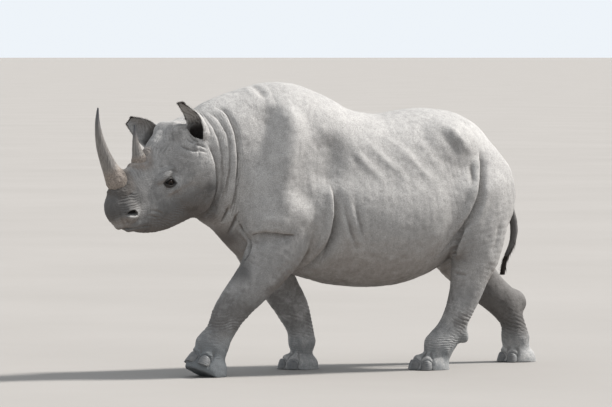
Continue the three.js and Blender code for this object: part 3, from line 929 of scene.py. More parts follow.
def overlap(depths, width, lip, over, wall=9.0, flip=False):
    """The skin on one side of the line hangs over a furrow on the other."""

    def shape(s, u):
        s = -s if flip else s
        depth = np.interp(u, np.linspace(0, 1, len(depths)), depths)
        share = depth / max(depths)
        furrow = -depth * bell(np.maximum(s - wall, 0), width) * ramp(s, -wall * 0.5, wall)
        bank = lip * share * bell(s + 14, 20) * ramp(-s, -wall, wall * 0.5)
        across = over * share * bell(s + 4, 15)
        return furrow + bank, -across if flip else across

    return shape


# Lines on the body's side as (y, z) from the top or front, or (x, y, z) where they leave the side.
# Where the two sides differ, 1 is the left and -1 the right. Each rib starts with its strength.

FLANK_FOLD = [
    (690, 1215), (684, 1163), (669, 1096), (639, 1007), (606, 917), (560, 825), (512, 745),
    (440, 650), (360, 565), (300, 500),
]
FLANK_POCKET = [(630, 1160), (622, 1080), (612, 1010)]
COLLAR = [(-850, 1462), (-811, 1422), (-797, 1376), (-784, 1321), (-779, 1244), (-778, 1166),
          (-778, 1073), (-781, 964), (-790, 880)]
NECK_ROLLS = [
    [(-900, 1440), (-879, 1414), (-849, 1368), (-823, 1298),
     (-817, 1198), (-820, 1089), (-833, 988), (-858, 909)],
    [(-935, 1425), (-915, 1392), (-893, 1337), (-870, 1260),
     (-857, 1167), (-856, 1074), (-862, 980), (-880, 909)],
]
THROAT_FOLDS = [
    [(178, -797, 928), (156, -803, 895), (128, -810, 861), (96, -808, 826)],
    [(196, -758, 890), (160, -762, 846), (110, -759, 800), (64, -752, 762)],
]
CHEST_FOLD = [
    (176, -732, 830), (186, -714, 788), (203, -703, 758), (217, -696, 726),
    (236, -703, 695), (235, -709, 655), (226, -716, 612),
]
ARM_TOP = {
    1: [(-700, 768), (-670, 782), (-620, 789), (-575, 783), (-527, 774), (-488, 770), (-455, 762)],
    -1: [(-620, 800), (-570, 790), (-500, 782), (-440, 790)],
}
ELBOW = {
    1: [(-262, 1060), (-250, 985), (-246, 910), (-252, 840),
        (-262, 755), (-284, 682), (-321, 605), (-360, 555)],
    -1: [(-250, 1060), (-238, 985), (-240, 920), (-252, 840),
         (-264, 760), (-266, 690), (-250, 610), (-220, 550)],
}
PIT_FOLDS = [
    [(-184, 1010), (-178, 900), (-150, 800), (-110, 710), (-75, 640)],
    [(-120, 960), (-108, 880), (-84, 790), (-60, 720)],
]
RIBS = [
    (1.0, [(-150, 1300), (-105, 1246), (-37, 1149), (33, 1074), (90, 990)]),
    (0.9, [(-60, 1330), (-15, 1275), (79, 1163), (152, 1102), (206, 1013)]),
    (0.9, [(50, 1350), (98, 1303), (191, 1221), (276, 1131), (366, 1025), (400, 930)]),
    (0.6, [(250, 1325), (330, 1235), (395, 1145), (440, 1050)]),
]
BLADE_RIDGE = [
    (-462, 1545), (-458, 1444), (-455, 1289), (-505, 1134), (-530, 1010), (-519, 895), (-493, 809),
]
BLADE_HOLLOW = [(-585, 1500), (-590, 1400), (-600, 1290), (-632, 1166), (-680, 1011)]
BEHIND_BLADE = [(-235, 1340), (-225, 1220), (-245, 1100), (-290, 985)]
HUMP_GROOVE = [(-4, -578, 1575), (60, -578, 1562), (120, -570, 1530), (160, -565, 1490)]
HIP = [(477, 1361), (526, 1316), (587, 1248), (661, 1186)]
HIP_HOLLOW = [(430, 1345), (494, 1256), (565, 1180)]
THIGH_LINES = [[(707, 1066), (690, 930), (650, 840), (600, 758)], [(800, 850), (780, 716), (738, 610)]]
THIGH_FRONT = [(585, 810), (556, 700), (566, 600)]
KNEE_CREASE = {1: [(540, 545), (575, 526), (615, 520)], -1: [(705, 610), (745, 590), (800, 585)]}

# Lines on the head in its own frame: x to its left, y to its rear, z to its crown.

CHEEK = [
    (178, 275, 100), (196, 268, 60), (207, 256, 10), (212, 238, -45), (210, 215, -105),
    (190, 184, -172), (140, 148, -240), (90, 110, -275), (52, 90, -290),
]
MOUTH = [
    (0, -338, -92), (28, -314, -98), (46, -282, -110),
    (56, -245, -127), (61, -208, -147), (62, -180, -164),
]
EAR_FOLDS = [
    [(110, 262, 190), (127, 236, 160), (152, 232, 122), (178, 250, 98)],
    [(110, 215, 165), (134, 206, 135), (160, 221, 106), (184, 240, 80), (198, 254, 50)],
    [(104, 160, 140), (128, 165, 112), (161, 189, 80), (186, 222, 58), (200, 246, 30)],
]
MOUTH_CREASES = [
    [(72, -208, -88), (80, -172, -106), (82, -146, -134), (74, -136, -164)],
    [(80, -180, -70), (90, -142, -92), (92, -114, -124), (84, -100, -160)],
]
BROW_CREASE = [(86, -50, 66), (104, -10, 66), (116, 30, 62), (124, 62, 36), (128, 78, 4)]
CHEEKBONE = [(104, -70, -40), (128, 0, -58), (138, 66, -50), (146, 130, -30), (150, 180, 0)]
LIP_RIDGE = [(71, -304, 34), (66, -322, 8), (60, -325, -24), (46, -318, -60), (36, -308, -88)]


# ---------- folds and wrinkles


def on_side(line, side):
    """The line's points on the body, on its left (1) or right (-1)."""
    return flank_points(line, side) if len(line[0]) == 2 else spread(line) * (side, 1, 1)


def spread(line, count=60):
    return catmull(np.array(line, float), np.linspace(0, 1, count))


def on_head(line, side):
    return from_head(spread(line) * (side, 1, 1))


def fold_trunk(s, side):
    """Muscles' edges and ribs first, then the folds that hang over them."""
    def draw(line, reach, shape, ends):
        s.stroke(on_side(line, side), side, reach, shape, ends)

    draw(BLADE_HOLLOW, 170, ridge(-26, 72), 0.3)
    draw(BLADE_RIDGE, 180, ridge(26, 66), 0.25)
    draw(BEHIND_BLADE, 150, ridge(-19, 62), 0.3)
    draw(HIP_HOLLOW, 90, ridge(-9, 38), 0.3)
    draw(HIP, 90, ridge(10, 30), 0.3)
    for share, line in RIBS:
        draw(line, 90, ridge(7 * share, 27), 0.45)
    draw(THIGH_LINES[0], 70, ridge(7, 26), 0.3)
    draw(THIGH_LINES[1], 70, ridge(-10, 24), 0.3)
    draw(THIGH_FRONT, 60, ridge(12, 20), 0.3)
    draw(FLANK_POCKET, 60, ridge(-10, 18), 0.4)
    draw(HUMP_GROOVE, 70, crease(9, 22, 2), 0.3)
    draw([(y, z + 52) for y, z in ARM_TOP[side]], 120, ridge(13, 38), 0.35)
    draw([(y, z - 52) for y, z in ARM_TOP[side]], 120, ridge(-11, 36), 0.35)
    s.refresh()
    for line in PIT_FOLDS:
        draw(line, 70, crease(8, 15, 3), 0.5)
    draw(ELBOW[side], 120, overlap([6, 22, 40, 50, 46, 30, 10], 40, 9, 8, 12), 0.2)
    draw(ARM_TOP[side], 90, overlap([10, 26, 34, 36, 30, 16, 4], 30, 9, 9, flip=True), 0.3)
    draw(CHEST_FOLD, 60, crease(26, 14, 5), 0.3)
    for line in THROAT_FOLDS:
        draw(line, 50, overlap([10, 16, 12], 12, 5, 4, 5), 0.35)
    s.refresh()
    draw(FLANK_FOLD, 130, overlap([6, 34, 46, 52, 50, 38, 20, 10, 6, 3], 34, 9, 11), 0.1)
    draw(KNEE_CREASE[side], 40, crease(8, 8, 3), 0.3)
    draw(COLLAR, 80, overlap([6, 14, 17, 18, 18, 16, 14, 12, 8], 20, 9, 7, 7), 0.12)
    for line in NECK_ROLLS:
        draw(line, 60, overlap([3, 4, 5, 5, 5, 4, 3], 13, 3, 1, 6), 0.2)
    s.refresh()


def wrinkle_neck(s):
    """Fine rolls round the neck, in front of the collar."""
    chosen = within(s.points, (-FAR, -1080, 780), (FAR, -720, FAR))
    p = s.points[chosen]
    line = np.array(COLLAR)
    order = np.argsort(line[:, 1])
    field = p[:, 1] - np.interp(p[:, 2], line[order, 1], line[order, 0])
    behind_head = ramp(to_head(p)[:, 1], 205, 260)
    share = behind_head * ramp(field, -230, -120) * ramp(-field, -70, -20)
    share = share * (0.45 + 0.55 * ramp(noise(p, 70, 2), -0.5, 0.4))
    field = field + 9 * noise(p, 75, 1) + 3 * noise(p, 26, 3)
    s.furrows(chosen, field, 12.5, 3.6, share)
    s.refresh()


def neck_share(points):
    """1 on the neck, fading to the head, the shoulders and the legs."""
    _, y, z = points.T
    return ramp(to_head(points)[:, 1], 150, 230) * ramp(-y, 700, 760) * ramp(z, 700, 800)


def line_share(points, line, width):
    """From 1 on the line to 0 a few widths away."""
    share = np.zeros(len(points))
    chosen = within(points, line.min(0), line.max(0), 3 * width)
    nearest = np.full(len(chosen), np.inf)
    for q in line[::2]:
        nearest = np.minimum(nearest, ((points[chosen] - q) ** 2).sum(1))
    share[chosen] = np.exp(-nearest / width**2)
    return share


def fold_head(s, side):
    """The cheek's edge over the neck, and the folds at the ear, brow, mouth and lip."""
    def draw(line, reach, shape, ends):
        s.stroke(on_head(line, side), side, reach, shape, ends)

    h = to_head(s.points)
    s.push(15 * lump(h, (side * 175, 178, 30), (60, 62, 105)))
    s.refresh()
    draw(CHEEKBONE, 70, ridge(7, 24), 0.35)
    behind = on_head([(x + 4, y + 22, z) for x, y, z in CHEEK], side)
    s.even(line_share(s.points, behind, 26), 8, 0.6)
    draw(CHEEK, 100, overlap([4, 8, 14, 19, 23, 24, 22, 15, 7], 34, 7, 8), 0.15)
    s.even(line_share(s.points, behind, 18), 4, 0.6)
    for line in EAR_FOLDS:
        draw(line, 40, overlap([5, 8, 10, 8], 10, 4, 3, 4), 0.3)
    draw(BROW_CREASE, 40, crease(3, 7, 1.5), 0.4)
    for line in MOUTH_CREASES:
        draw(line, 36, crease(2.8, 6, 1.5), 0.4)
    s.refresh()
    draw(LIP_RIDGE, 40, ridge(6, 10), 0.25)
    s.refresh()


def part_lips(s):
    """One line round the muzzle, with the upper lip hanging over it to a soft point."""
    h = to_head(s.points)
    beak = lump(h, (0, -340, -78), (34, 30, 34))
    s.points += head_direction(0, -0.75, -0.65) * (15 * beak)[:, None]
    s.refresh()
    right = [(-x, y, z) for x, y, z in MOUTH[:0:-1]]
    line = from_head(spread(MOUTH[::-1] + right, 120))
    s.stroke(line, 1, 44, overlap([5, 13, 14, 14, 14, 13, 5], 9, 5, 3, 4), 0.1)
    s.refresh()


NOSTRIL = (84, -280, -22)


def side_view(h, centre, side):
    """Offsets from a place on the side of the head: out of it, to the rear and up, levelled."""
    q = h * (side, 1, 1) - centre
    rear, up = q[:, 1], q[:, 2]
    cos, sin = math.cos(HEAD_PITCH), math.sin(HEAD_PITCH)
    return q[:, 0], rear * cos - up * sin, rear * sin + up * cos


def carve_nostril(s, side):
    """A hole with a raised rim; returns the points near it and how far in it they are (0 to 1)."""
    h = to_head(s.points)
    _, y, z = NOSTRIL
    chosen = within(h * (side, 1, 1), (30, y - 90, z - 90), (FAR, y + 90, z + 90))
    _, a, b = side_view(h[chosen], NOSTRIL, side)
    b = b + 0.006 * a**2
    k = np.hypot(a / 34, b / 16)
    rim = 5.5 * bell((k - 1.25) * 17, 8) * (0.7 + 0.3 * np.clip(-a / 25, -1, 1))
    wing = 5 * bell(np.hypot(a / 44, (b + 26) / 16), 1)
    s.push(rim + wing, chosen)
    # How far into the hole a point lies: the hide's colour darkens there as painted shade.
    hole = 1 - ramp(k, 0.45, 1.12)
    inward = head_direction(-side * 0.85, 0.5, 0.1)
    s.points[chosen] += inward * (38 * hole)[:, None]
    s.refresh()
    return chosen, hole


# Half the length of the eye's opening, and its height above and below the middle.
EYE_OPENING, LID_TOP, LID_BOTTOM = 29.0, 18.5, 15.5


def socket(s, side):
    """Lids over the eyeball with creases round them; returns the points near the eye and how far
    outside the lids' edge they are.
    """
    h = to_head(s.points)
    chosen = np.nonzero(np.linalg.norm(h * (side, 1, 1) - EYE, axis=1) < 95)[0]
    f, a, b = side_view(h[chosen], EYE, side)
    keep = f > -25
    chosen, f, a, b = chosen[keep], f[keep], a[keep], b[keep]
    b = b - 2 + 0.002 * a**2
    spot = np.hypot(a, b)
    opening = np.abs(b) / np.where(b > 0, LID_TOP, LID_BOTTOM) + (a / EYE_OPENING) ** 2
    edge = (opening - 1) * 13
    bed = f + 9 * bell(spot, 46)
    lid_radius = EYE_RADIUS + 3.5 + 2.5 * ramp(b, 0, 12)
    dome = np.sqrt(np.maximum(lid_radius**2 - spot**2, 0))
    dome -= 200 * ramp(spot, lid_radius * 0.97, lid_radius * 1.4)
    lids = -blend(-bed, -dome, 13)
    lids -= 3.5 * bell(edge, 2.2)
    arcs = spot * (1 + 0.1 * np.sin(np.arctan2(b, a) * 2)) + 5 * noise(h[chosen], 24, 5)
    rolls = np.abs(np.sin(np.pi * (arcs - 24) / 8.5)) ** 0.7 - 0.75
    uneven = 0.3 + 0.7 * ramp(noise(h[chosen], 34, 6), -0.5, 0.4)
    lids += 2.6 * rolls * ramp(edge, 5, 12) * ramp(-spot, -78, -40) * uneven
    inside = np.sqrt(np.maximum((EYE_RADIUS - 4) ** 2 - spot**2, 4)) - 2
    share = ramp(edge, -1.6, 0.8)
    new = inside * (1 - share) + lids * share
    s.points[chosen] += head_direction(side, 0, 0) * (new - f)[:, None]
    s.refresh()
    return chosen, edge


def wrinkle_face(s):
    """Soft wrinkles over the muzzle, forehead and cheeks."""
    h = to_head(s.points)
    chosen = within(h, (-260, -400, -380), (260, 330, 380))
    h = h[chosen]
    x, y, z = np.abs(h[:, 0]), h[:, 1], h[:, 2]
    warp = 10 * noise(h, 60, 1) + 4 * noise(h, 22, 2)
    muzzle = ramp(-y, 150, 250) * ramp(z, -70, -20) * ramp(-z, -110, -60)
    s.furrows(chosen, y * 0.35 + z + warp, 15, 4.4, muzzle * ramp(noise(h, 50, 3), -0.3, 0.5))
    bridge = ramp(z, 60, 110) * ramp(-y, -60, 40) * ramp(y, -200, -100)
    s.furrows(chosen, y + 0.4 * x + warp, 17, 3.0, bridge * ramp(noise(h, 50, 4), -0.4, 0.4))
    crown = ramp(z, 90, 150) * ramp(y, -10, 60)
    s.furrows(chosen, h[:, 0] + warp * 1.5, 15, 4.4, crown * ramp(noise(h, 60, 5), -0.2, 0.6))
    jowl = ramp(-z, 60, 130) * ramp(y, -190, -120) * ramp(-y, -120, 0)
    s.furrows(chosen, y * 0.8 + z + warp * 1.4, 18, 4.2, jowl * ramp(noise(h, 60, 6), -0.2, 0.6))
    whole = ramp(-z, -230, -120) * ramp(y, -330, -250) * (1 - muzzle)
    net = 7 * noise(h, 34, 31) + 3 * noise(h, 13, 32)
    s.furrows(chosen, z + 0.5 * y + 1.6 * net, 13, 1.4, whole * ramp(noise(h, 70, 7), -0.5, 0.5))
    s.furrows(chosen, y - 0.6 * z + 1.6 * net, 15, 1.1, whole * ramp(noise(h, 64, 8), -0.5, 0.5))
    s.refresh()


# Middle (y, z) and half width and length of each horn's foot, on the head.
HORN_SEATS = [(-228, 158, 54, 62), (-40, 165, 48, 60)]


def seat_horns(s):
    """A rough rim of skin round the foot of each horn."""
    h = to_head(s.points)
    crust = np.zeros(len(h))
    for y, z, half, long in HORN_SEATS:
        q = h - (0, y, z)
        k = np.hypot(q[:, 0] / half, q[:, 1] / long)
        chosen = np.nonzero((np.abs(q[:, 2]) < 90) & (k < 2.2) & (h[:, 2] > 40))[0]
        rough = noise(h[chosen], 9, 7) + 0.7 * noise(h[chosen], 4.5, 8)
        rim = 6 * bell((k[chosen] - 1.1) * 52, 10)
        s.push(rim * (1 + 0.2 * rough) + 0.9 * rough * ramp(-k[chosen], -1.6, -1.1), chosen)
        crust[chosen] = np.maximum(crust[chosen], ramp(-k[chosen], -1.7, -1.15))
    s.refresh()
    return crust


def wrinkle_legs(s):
    """Rolls round the limbs, each leg with its own height and slant."""
    chosen = np.nonzero(s.points[:, 2] < 620)[0]
    q = s.points[chosen]
    x, y, z = q.T
    warp = 9 * noise(q, 60, 8) + 3 * noise(q, 20, 9)
    left_fore = (x > 60) & (y < -600)
    knee = left_fore * band(z, 235, 275, 345, 385)
    s.furrows(chosen, z - 0.1 * y + warp, 15, 4.2, knee)
    right_fore = (x < -60) & (y < 0)
    shin = right_fore * band(z, 160, 200, 330, 420)
    s.furrows(chosen, z + 0.35 * y + warp, 19, 3.6, shin * ramp(noise(q, 70, 2), -0.4, 0.4))
    hind = y > 300
    hock = hind * band(z, 130, 180, 320, 420)
    s.furrows(chosen, z + 0.45 * y + warp, 21, 3.4, hock * ramp(noise(q, 80, 4), -0.3, 0.5))
    ankles = band(z, 85, 110, 160, 230)
    s.furrows(chosen, z + warp, 13, 2.6, ankles * ramp(noise(q, 60, 5), -0.4, 0.5))
    s.refresh()


TOE_TURN = 48  # degrees from one toe to the next
TOE_REACH = 114  # from the foot's middle to the nails
RADIAN = 57.3  # degrees
NAIL_SIZES = [(43, 62), (36, 56)]  # half width and height of the middle nail and of the others
NAIL_ARCH = 0.16  # how far a nail's upper edge drops to its corners


def seat_nails(s):
    """Toes bulge, part between the nails and swell over each nail; a lifted foot's pad is rounded."""
    for leg, (x, y, _, lift, size) in FEET.items():
        back = foot_frame(leg).inverted()
        chosen = within(s.points, (x - 150, y - 170, -5), (x + 150, y + 120, 190))
        q = moved(s.points[chosen], back) / size
        angle = np.degrees(np.arctan2(q[:, 0], -q[:, 1]))
        z = q[:, 2]
        toes = np.cos(2 * np.pi * angle / TOE_TURN) * ramp(-np.abs(angle), -80, -66)
        total = 6.5 * toes * ramp(z, 10, 40) * ramp(-z, -120, -60)
        for k in (-1, 0, 1):
            wide, tall = NAIL_SIZES[abs(k)]
            across = (angle - k * TOE_TURN) / RADIAN * TOE_REACH / wide
            edge = z - 2 - tall * (1 - NAIL_ARCH * np.minimum(across, 1.2) ** 2)
            off = np.abs(across)
            total += ramp(-off, -1.25, -0.85) * (5 * bell(edge - 13, 11) - 4 * bell(edge + 1, 4))
            total -= 4 * ramp(-edge, -2, 8) * bell((off - 1.02) * wide, 5) * (off < 1.5)
        s.push(total, chosen)
        if lift:
            pad = np.zeros(len(s.points))
            pad[chosen] = ramp(-z, -4, 12) * ramp(s.points[chosen, 2], 6, 24)
            s.even(pad, 40)
    s.refresh()


def rough_hide(s):
    """Uneven skin everywhere, fading out at the soles."""
    n = 2.2 * noise(s.points, 85, 11) + 1.3 * noise(s.points, 31, 12) + 0.55 * noise(s.points, 12, 13)
    low = ramp(s.points[:, 2], 12, 40)
    s.push(n * low)


def ear_depth(s):
    """How far inside the cup of an ear each point is."""
    inner = np.zeros(len(s.points))
    for spec in EARS.values():
        q = to_ear(spec, s.points)
        t = q[:, 2] / spec["length"]
        near = (t > -0.25) & (t < 1.05) & (np.abs(q[:, 0]) < 120) & (np.abs(q[:, 1]) < 200)
        q, t = q[near], t[near]
        radius, middle, shut, wall = ear_section(spec, np.clip(t, 0, 1))
        dx, dy = q[:, 0], q[:, 1] - middle
        r = np.hypot(dx, dy)
        facing = np.abs(np.arctan2(dx, dy)) < shut + 0.5
        cup = ramp(radius - wall * 0.5 - r, -1, 3) * facing * ramp(t, -0.05, 0.0)
        # Strongest towards the foot of the cup: the hide's colour uses this for painted shade deep in
        # the ear and painted light in its upper cup.
        deep = 0.05 + 0.95 * ramp(-t * spec["length"], -165, -85)
        inner[near] = np.maximum(inner[near], cup * deep)
    return inner


# ---------- the skin's shape


def near_lines(points, lines, reach):
    """True for the points within reach of any of the lines."""
    out = np.zeros(len(points), bool)
    for line in lines:
        chosen = within(points, line.min(0), line.max(0), reach)
        for q in line[::2]:
            out[chosen] |= ((points[chosen] - q) ** 2).sum(1) < reach**2
    return out


def fold_zones(centres):
    """Where the skin needs small triangles."""
    h = to_head(centres)
    head = (h[:, 1] < 300) & (np.abs(h[:, 0]) < 330) & (h[:, 2] > -340)
    neck = (centres[:, 1] < -735) & (centres[:, 2] > 800)
    low = centres[:, 2] < 300
    lines = []
    for side in (1, -1):
        folds = (FLANK_FOLD, ELBOW[side], ARM_TOP[side], CHEST_FOLD, *PIT_FOLDS)
        lines += [on_side(line, side) for line in folds]
    return head | neck | low | near_lines(centres, lines, 55)


def face_zones(centres):
    """Where the skin needs the smallest triangles."""
    h = to_head(centres)
    left = mirrored(h)
    eyes = np.linalg.norm(left - EYE, axis=1) < 58
    nostrils = np.linalg.norm(left - NOSTRIL, axis=1) < 48
    mouth = near_lines(left, [spread(MOUTH)], 22) & (h[:, 1] < -130)
    return eyes | nostrils | mouth


GRID_STEP = 12.0


def skin_shape():
    """The mesh of the body and ears before it is folded, finer where folds will be."""
    low, high = np.array([-460.0, -1560, -30]), np.array([460.0, 1380, 1680])
    points, quads = surface_net(body, low, high, GRID_STEP)
    tris = triangles_of(quads)
    points = settled(body, points, tris, 3, slide=0.5)
    points, tris = refine(points, tris)
    points = settled(body, points, tris, 2)
    ears = EARS.values()
    points, tris = united((points, tris), [ear_mesh(e) for e in ears], [ear_hollow(e) for e in ears])
    points, tris = refine(points, tris, fold_zones(points[tris].mean(1)))
    points, tris = refine(points, tris, face_zones(points[tris].mean(1)))
    ear_feet = np.zeros(len(points))
    for spec in ears:
        q = to_ear(spec, points)
        ear_feet = np.maximum(ear_feet, ramp(-np.linalg.norm(q * (1, 1, 0.8), axis=1), -150, -110))
    s = Sculpt(points, tris)
    s.even(ear_feet * bell(body(s.points), 10), 14)
    return s


def curvature(s):
    """Positive in valleys and negative on ridges, from about -1 to 1."""
    edges = s.edges
    step = averages(s.points, edges) - s.points
    length = np.linalg.norm(s.points[edges[:, 0]] - s.points[edges[:, 1]], axis=1)
    size = np.zeros(len(s.points))
    count = np.bincount(edges.ravel(), minlength=len(s.points))
    for k in range(2):
        size += np.bincount(edges[:, k], length, len(s.points))
    bend = (step * s.normals).sum(1) / np.maximum(size / np.maximum(count, 1), 0.1) ** 2
    return smoothed(np.clip(bend * 40, -1, 1), edges, 3, 0.7)


def sculpted():
    """The folded skin, and what its folding says about places on it."""
    s = skin_shape()
    for side in (1, -1):
        fold_trunk(s, side)
    mend(s)
    wrinkle_neck(s)
    wrinkle_face(s)
    crust = seat_horns(s)
    for side in (1, -1):
        fold_head(s, side)
    part_lips(s)
    s.even(neck_share(s.points), 3, 0.4)
    mend(s, 4)
    inner_ear = ear_depth(s)
    holes, lids = np.zeros(len(s.points)), np.zeros(len(s.points))
    for side in (1, -1):
        chosen, hole = carve_nostril(s, side)
        holes[chosen] = np.maximum(holes[chosen], hole)
    for side in (1, -1):
        chosen, edge = socket(s, side)
        # Near the lids' edge the hide's colour darkens: the lids' own blackish rims and painted shadow
        # round the eye.
        lids[chosen] = np.maximum(lids[chosen], ramp(-edge, -19, -6))
    wrinkle_legs(s)
    seat_nails(s)
    rough_hide(s)
    s.points[:, 2] = np.maximum(s.points[:, 2], 0)
    s.refresh()
    return s, crust, inner_ear, holes, lids


def hide_maps(s, crust, inner_ear, holes, lids):
    """How pale, bluish, brownish and darker the hide is at each point: its dusty, muddy and stained
    colour, with painted light on lit parts and painted shade on shaded sides, undersides, creases and
    hollows.
    """
    p, h = s.points, to_head(s.points)
    (x, y, z), (_, head_y, head_z) = p.T, h.T
    rise = s.normals[:, 2]
    bend = curvature(s)
    # The face is darker: partly its own colour, partly painted shade.
    face = ramp(-head_y, -300, -180) * ramp(head_z, -400, -300) * ramp(-y, 780, 860)
    # The forearm under the shoulder's overhanging fold is darker, as painted shade.
    fore = ramp(-y, 330, 520) * ramp(-z, -830, -720)
    low = ramp(-z, -540, -400)
    feet = ramp(-z, -330, -90)
    hind_right = ramp(y, 760, 900) * ramp(-x, 20, 60) * ramp(-z, -800, -600) * ramp(z, 90, 220)
    snout = ramp(-head_y, 60, 260) * face
    # Under the jaw is darker, as painted shade.
    jaw = face * ramp(-head_z, 60, 150)
    # The chest under the neck is darker, as painted shade.
    chest = ramp(-y, 690, 740) * ramp(-z, -830, -730) * ramp(z, 480, 560)
    # The underside is darker as painted shade, and browner as painted light thrown up from the ground.
    belly = ramp(-rise, 0.15, 0.75) * ramp(z, 420, 500)
    # Between the belly and the thigh is darker, as painted shade.
    groin = lump(p, (0, 560, 640), (360, 110, 130)) * ramp(-rise, -0.3, 0.2)
    patches = ramp(noise(p, 105, 21) + 0.6 * noise(p, 42, 22) + 0.5 * noise(p, 12, 24), -0.4, 1.1)
    # Muddy patches on the legs. The far hind leg is darker all over: partly muddy, partly painted
    # shade.
    mud_and_far_leg_shade = patches * ramp(-z, -640, -420) * ramp(z, 150, 280)
    mud_and_far_leg_shade = np.maximum(0.6 * mud_and_far_leg_shade, hind_right * (0.85 + 0.3 * patches))
    up = ramp(rise, -0.15, 0.45)
    lumps = 0.5 + 0.5 * noise(p, 160, 23)
    # The rear of the cheek is paler, with a painted highlight near its top: painted light.
    cheek = face * ramp(head_y, 20, 170) * ramp(-head_z, -150, -40)
    lit = bell(np.hypot((head_y - 215) / 70, (head_z - 25) / 85), 1) * face
    # The brow over each eye is darker, as painted shade against the sun on it.
    brow = lump(mirrored(h), (108, -8, 52), (34, 44, 24))
    streaks = noise(p * (1, 1, 0.22), 22, 25) + 0.6 * noise(p * (1, 1, 0.3), 9, 26)
    stains = ramp(noise(h, 62, 27) + 0.7 * noise(h, 21, 28), 0.0, 0.9)
    # Paler with dusty lumps and streaks and on upward faces. The flattest tops are a little less pale,
    # as painted shade against the sun there.
    dust = 0.40 + 0.36 * up + 0.25 * lumps + 0.2 * streaks - 0.25 * ramp(rise, 0.65, 1)
    # Painted light: the upper ear cups are paler, for light through the ear.
    ears_pale = ramp(inner_ear, 0, 0.03) * ramp(-inner_ear, -0.4, -0.06)
    # Painted light on the upper neck.
    neck = 0.2 * neck_share(p) * ramp(z, 900, 1100)
    # The near fore foot is darker, as painted shade where it faces the sun.
    dust += 0.35 * ears_pale - 0.38 * feet * ramp(-y, 700, 800) + neck
    # Painted light on the rear of the cheek. Painted shade on the face, the forearm, the chest and the
    # underside. The lower legs are darker towards the bottom, and the muddy patches are darker.
    dust += (0.3 * cheek + 0.2 * lit - 0.34 * face - 0.3 * low
             - 0.12 * belly - 0.25 * mud_and_far_leg_shade - 0.34 * fore - 0.4 * chest)
    # Painted shade on the brow and under the jaw. Stains are darker on the face.
    dust -= (0.8 * brow + 0.25 * stains + 0.3 * jaw) * face
    # Painted light on the far legs, which stand in shadow.
    far_legs = ramp(-x, 40, 100) * ramp(-z, -500, -330) * (1 - hind_right)
    dust += 0.25 * far_legs
    # Painted shade in the valleys of the flank, chest and shoulder folds.
    pits = np.zeros(len(p))
    for side in (1, -1):
        for line in (FLANK_FOLD[3:], CHEST_FOLD, ARM_TOP[side]):
            pits = np.maximum(pits, line_share(p, on_side(line, side), 17))
    pits *= ramp(bend, -0.1, 0.35)
    # Painted highlight on ridges and painted shade in valleys.
    dust = np.clip(dust + 0.25 * np.clip(-bend, 0, 1) - 0.45 * np.clip(bend, 0, 1), 0, 1)
    tail = ramp(y, 975, 1010) * ramp(-z, -1010, -900) * (np.abs(x) < 60)
    # Painted shade deep in the ear cups, inside the nostrils, under the jaw, on the chest, between
    # belly and thigh and in the folds. Round the eyes: the lids' own blackish rims and painted shadow.
    # Also darker: muddy patches, the upper muzzle, stains on the face and the tail's end.
    dark = np.maximum.reduce([
        inner_ear, holes, 0.92 * lids, 0.62 * mud_and_far_leg_shade, 0.68 * snout * ramp(head_z, -50, 5), 0.72 * tail,
        0.5 * groin, (0.16 * stains + 0.38 * jaw) * face, 0.44 * chest, 0.55 * pits,
    ])
    return {
        # Painted shade on the face (partly its own darker colour), on the forearm under the shoulder
        # fold and on the chest. The lower legs are darker towards the bottom.
        "shade": np.clip(0.55 * face + 0.5 * np.maximum(low, 0.8 * fore) + 0.2 * chest, 0, 1),
        # Painted blue shade of the sky on the feet.
        "painted_blue_shade": 0.9 * feet,
        "dust": dust,
        # Browner for the muddy patches and for painted bounce light on the underside.
        "mud_and_painted_bounce": np.clip(0.8 * belly + 0.4 * mud_and_far_leg_shade, 0, 1),
        # Painted shade and darker marks.
        "dark": dark,
        "crust": crust,
        # Painted shade in the skin's valleys.
        "fold": np.clip(bend, 0, 1),
    }


# ---------- materials


